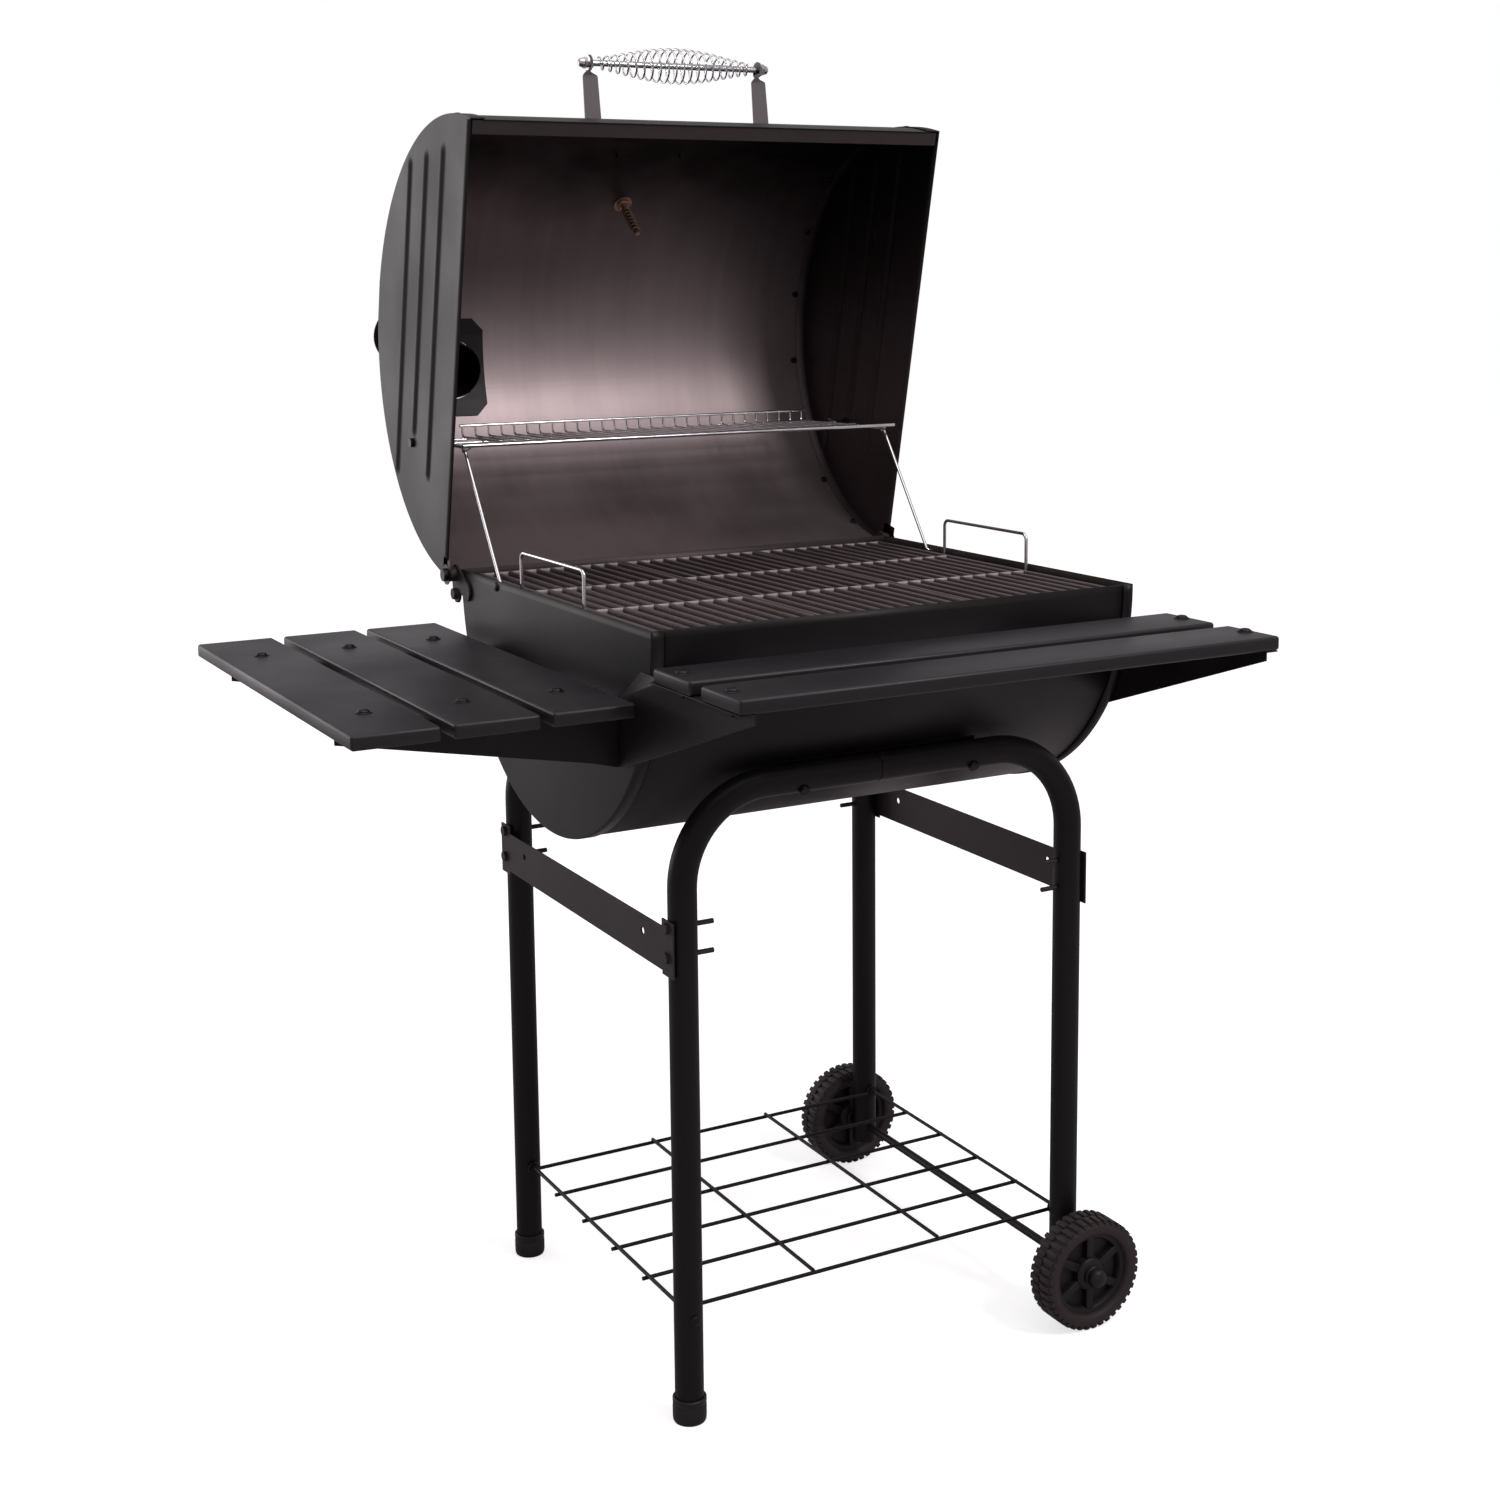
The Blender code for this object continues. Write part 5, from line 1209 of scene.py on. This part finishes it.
glass = [(0, base + 0.0118), (0.0212, base + 0.0118), (0.0212, base + 0.0126), (0, base + 0.0128)]
turned(bm, glass, steps=64)
built("gauge_lens", bm, LENS, "lid", space=GAUGE)
from_part("gauge_needle", RED, "thermometer_needle", "thermometer_needle", width=0.0)
bm = bmesh.new()
nut_top = LID_SHELL_R - 0.0022
turned(bm, [(0, 0), (0.0125, 0), (0.0125, 0.0008), (0, 0.0008)], (0, 0, nut_top - 0.0006), steps=40)
hex_head(bm, (0, 0, nut_top), (0, 0, -1), 0.0090, 0.0050)
round_stock(bm, [(0, 0, nut_top), (0, 0, LID_SHELL_R - 0.062)], 0.0030, sides=24)
built("gauge_stem", bm, SCORCHED, "lid", "thermometer_probe", space=GAUGE)
bm = bmesh.new()
BIMETAL_TURNS = 7
steps = BIMETAL_TURNS * 28
upright = Matrix.Translation((0.0050, 0, LID_SHELL_R - 0.012)) @ Matrix.Rotation(pi / 2, 4, "X")
ring = bmesh.ops.create_circle(bm, segments=8, radius=0.0013, matrix=upright)["verts"]
edges = list({edge for vert in ring for edge in vert.link_edges})
bmesh.ops.edgeloop_fill(bm, edges=edges)
swept = bmesh.ops.spin(
    bm, geom=edges + ring, cent=(0, 0, 0), axis=(0, 0, 1), dvec=(0, 0, -0.044 / steps),
    angle=2 * pi * BIMETAL_TURNS, steps=steps,
)["geom_last"]
bmesh.ops.edgeloop_fill(bm, edges=only(swept, bmesh.types.BMEdge))
built("gauge_bimetal", bm, SCORCHED, "lid", space=GAUGE, sharp=60)

# %% Blank plate on the front of the lid, with its two studs
bm = bmesh.new()
plate_turn = 2.45
PLATE = LID @ Matrix.Translation(LID_MID) @ Matrix.Rotation(plate_turn - pi / 2, 4, "X")
block(bm, (-0.056, 0.056), (-0.013, 0.013), (LID_SHELL_R - 0.0002, LID_SHELL_R + 0.0024), 0.0010)
built("blank_plate", bm, ZINC, "lid", space=PLATE)
bm = bmesh.new()
for x in (-0.045, 0.045):
    round_stock(bm, [(x, 0, LID_SHELL_R), (x, 0, LID_SHELL_R - 0.0085)], 0.0016, sides=14)
    dome_head(bm, (x, 0, LID_SHELL_R - 0.0010), (0, 0, -1), 0.0048, 0.0016, 20)
built("blank_plate_studs", bm, BOLT, "lid", space=PLATE)

# %% [markdown]
# ## Warming rack
# The rack is welded from chromed wire: a front rail, two side wires with an eye at the back
# pivot, two cross wires, and a row of thin wires that turn up into a low fence. Two legs hold its
# front, and swing with the lid, so that the rack stays level as it folds down over the grates.
# A curve with a bevel could make each wire, and one spun ring keeps the bends truly round.

# %% Rack
low, high = box_in(CART, "warming_rack")
pivot = pivot_in(CART, "rack_swing")
overhang = 0.0135
side, front, back = high.x - overhang, -0.143, 0.007
link = 0.128
top = high.z - pivot.z - 0.002
bm = bmesh.new()


def rack_wire(points, radius, bend=0.0, sides=12, steps=5):
    round_stock(bm, [pivot + Vector(point) for point in points], radius, bend, sides, steps)


for side_x in (-1, 1):
    x = side_x * side
    rack_wire([(x, -0.0055, 0), (x, -link + 0.001, 0), (x, front, 0.0045)], 0.0020, 0.006)
    eye = [(0.0030, -0.0019), (0.0058, -0.0019), (0.0063, 0)]
    eye += [(0.0058, 0.0019), (0.0030, 0.0019), (0.0030, -0.0019)]
    turned(bm, eye, pivot + Vector((x, 0, 0)), (1, 0, 0), 32)
    rack_wire([(x, -link, 0), (side_x * (side + 0.009), -link, 0)], 0.0020)
rack_wire([(-side - overhang, front, 0.0045), (side + overhang, front, 0.0045)], 0.0025, sides=16)
rail = side - 0.039
rack_wire([(-rail, back, top), (rail, back, top)], 0.0020)
for y in (-0.066, -0.012):
    rack_wire([(-side, y, 0.0020), (side, y, 0.0020)], 0.0017)
WIRES = 29
for i in range(WIRES):
    x = -rail + 0.004 + (2 * rail - 0.008) * i / (WIRES - 1)
    line = [(x, front - 0.001, 0.0060), (x, back, 0.0037), (x, back, top + 0.0006)]
    rack_wire(line, 0.0014, 0.005, 10, 4)
built("warming_shelf", bm, CHROME, "warming_rack", "warming_rack")

# %% Rack legs
foot = pivot_in(CART, "rack_leg_swing")
reach = pivot - Vector((0, link, 0)) - foot
reach.x = 0
for hand, side_x in (("left", -1), ("right", 1)):
    x = side_x * (side + 0.006)
    head = Vector((x, foot.y, foot.z)) + reach
    bm = bmesh.new()
    start = Vector((x, foot.y, foot.z))
    outer = Vector((side_x * 0.3055, foot.y, foot.z))
    round_stock(bm, [outer, start, head - reach.normalized() * 0.0046], 0.0019, 0.004, 16, 6)
    eye = [(0.0027, -0.0018), (0.0052, -0.0018), (0.0059, 0)]
    eye += [(0.0052, 0.0018), (0.0027, 0.0018), (0.0027, -0.0018)]
    turned(bm, eye, head, (1, 0, 0), 32)
    built(f"rack_strut_{hand}", bm, CHROME, "rack_legs", f"rack_leg_{hand}")
print("warming rack ready")

# %% [markdown]
# ## Shelves
# The slats are stained boards with routed edges, fixed from above by a bolt over each bracket.
# The brackets are folded sheet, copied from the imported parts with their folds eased.

# %% Slats and their bolts
def slat(name, look, low, high, bolts):
    """A routed board with its washers, bolt heads above and nuts below."""
    bm = bmesh.new()
    block(bm, (low.x, high.x), (low.y, high.y), (low.z, high.z), 0.0032, 4)
    built(f"{name}_board", bm, look, "cart", name, sharp=50)
    bm = bmesh.new()
    flat = [(0, 0), (0.0088, 0), (0.0088, 0.0006), (0.0080, 0.0012), (0, 0.0012)]
    for x, y in bolts:
        turned(bm, flat, (x, y, high.z - 0.0002), steps=40)
        dome_head(bm, (x, y, high.z + 0.0006), (0, 0, 1), 0.0062, 0.0034, 28)
        round_stock(bm, [(x, y, low.z - 0.009), (x, y, low.z + 0.002)], 0.0024, sides=16)
        hex_head(bm, (x, y, low.z - 0.0018), (0, 0, -1), 0.0050, 0.0038)
    built(f"{name}_bolts", bm, BOLT, "cart")


front_low = box_in(CART, "side_bracket_front")[0]
rear_high = box_in(CART, "side_bracket_rear")[1]
bracket_y = (front_low.y + 0.009, rear_high.y - 0.009)
for i in (1, 2, 3):
    low, high = box_in(CART, f"side_slat_{i}")
    x = (low.x + high.x) / 2
    slat(f"side_slat_{i}", WOOD_SIDE, low, high, [(x, y) for y in bracket_y])
for i in (1, 2):
    low, high = box_in(CART, f"front_slat_{i}")
    y = (low.y + high.y) / 2
    slat(f"front_slat_{i}", WOOD_FRONT, low, high, [(x, y) for x in (low.x + 0.0125, high.x - 0.0125)])

# %% Brackets
for depth in ("front", "rear"):
    from_part(f"side_bracket_folded_{depth}", COAT, "cart", f"side_bracket_{depth}", width=0.0004)
for hand in ("left", "right"):
    from_part(f"front_bracket_folded_{hand}", COAT, "cart", f"front_bracket_{hand}", width=0.0004)
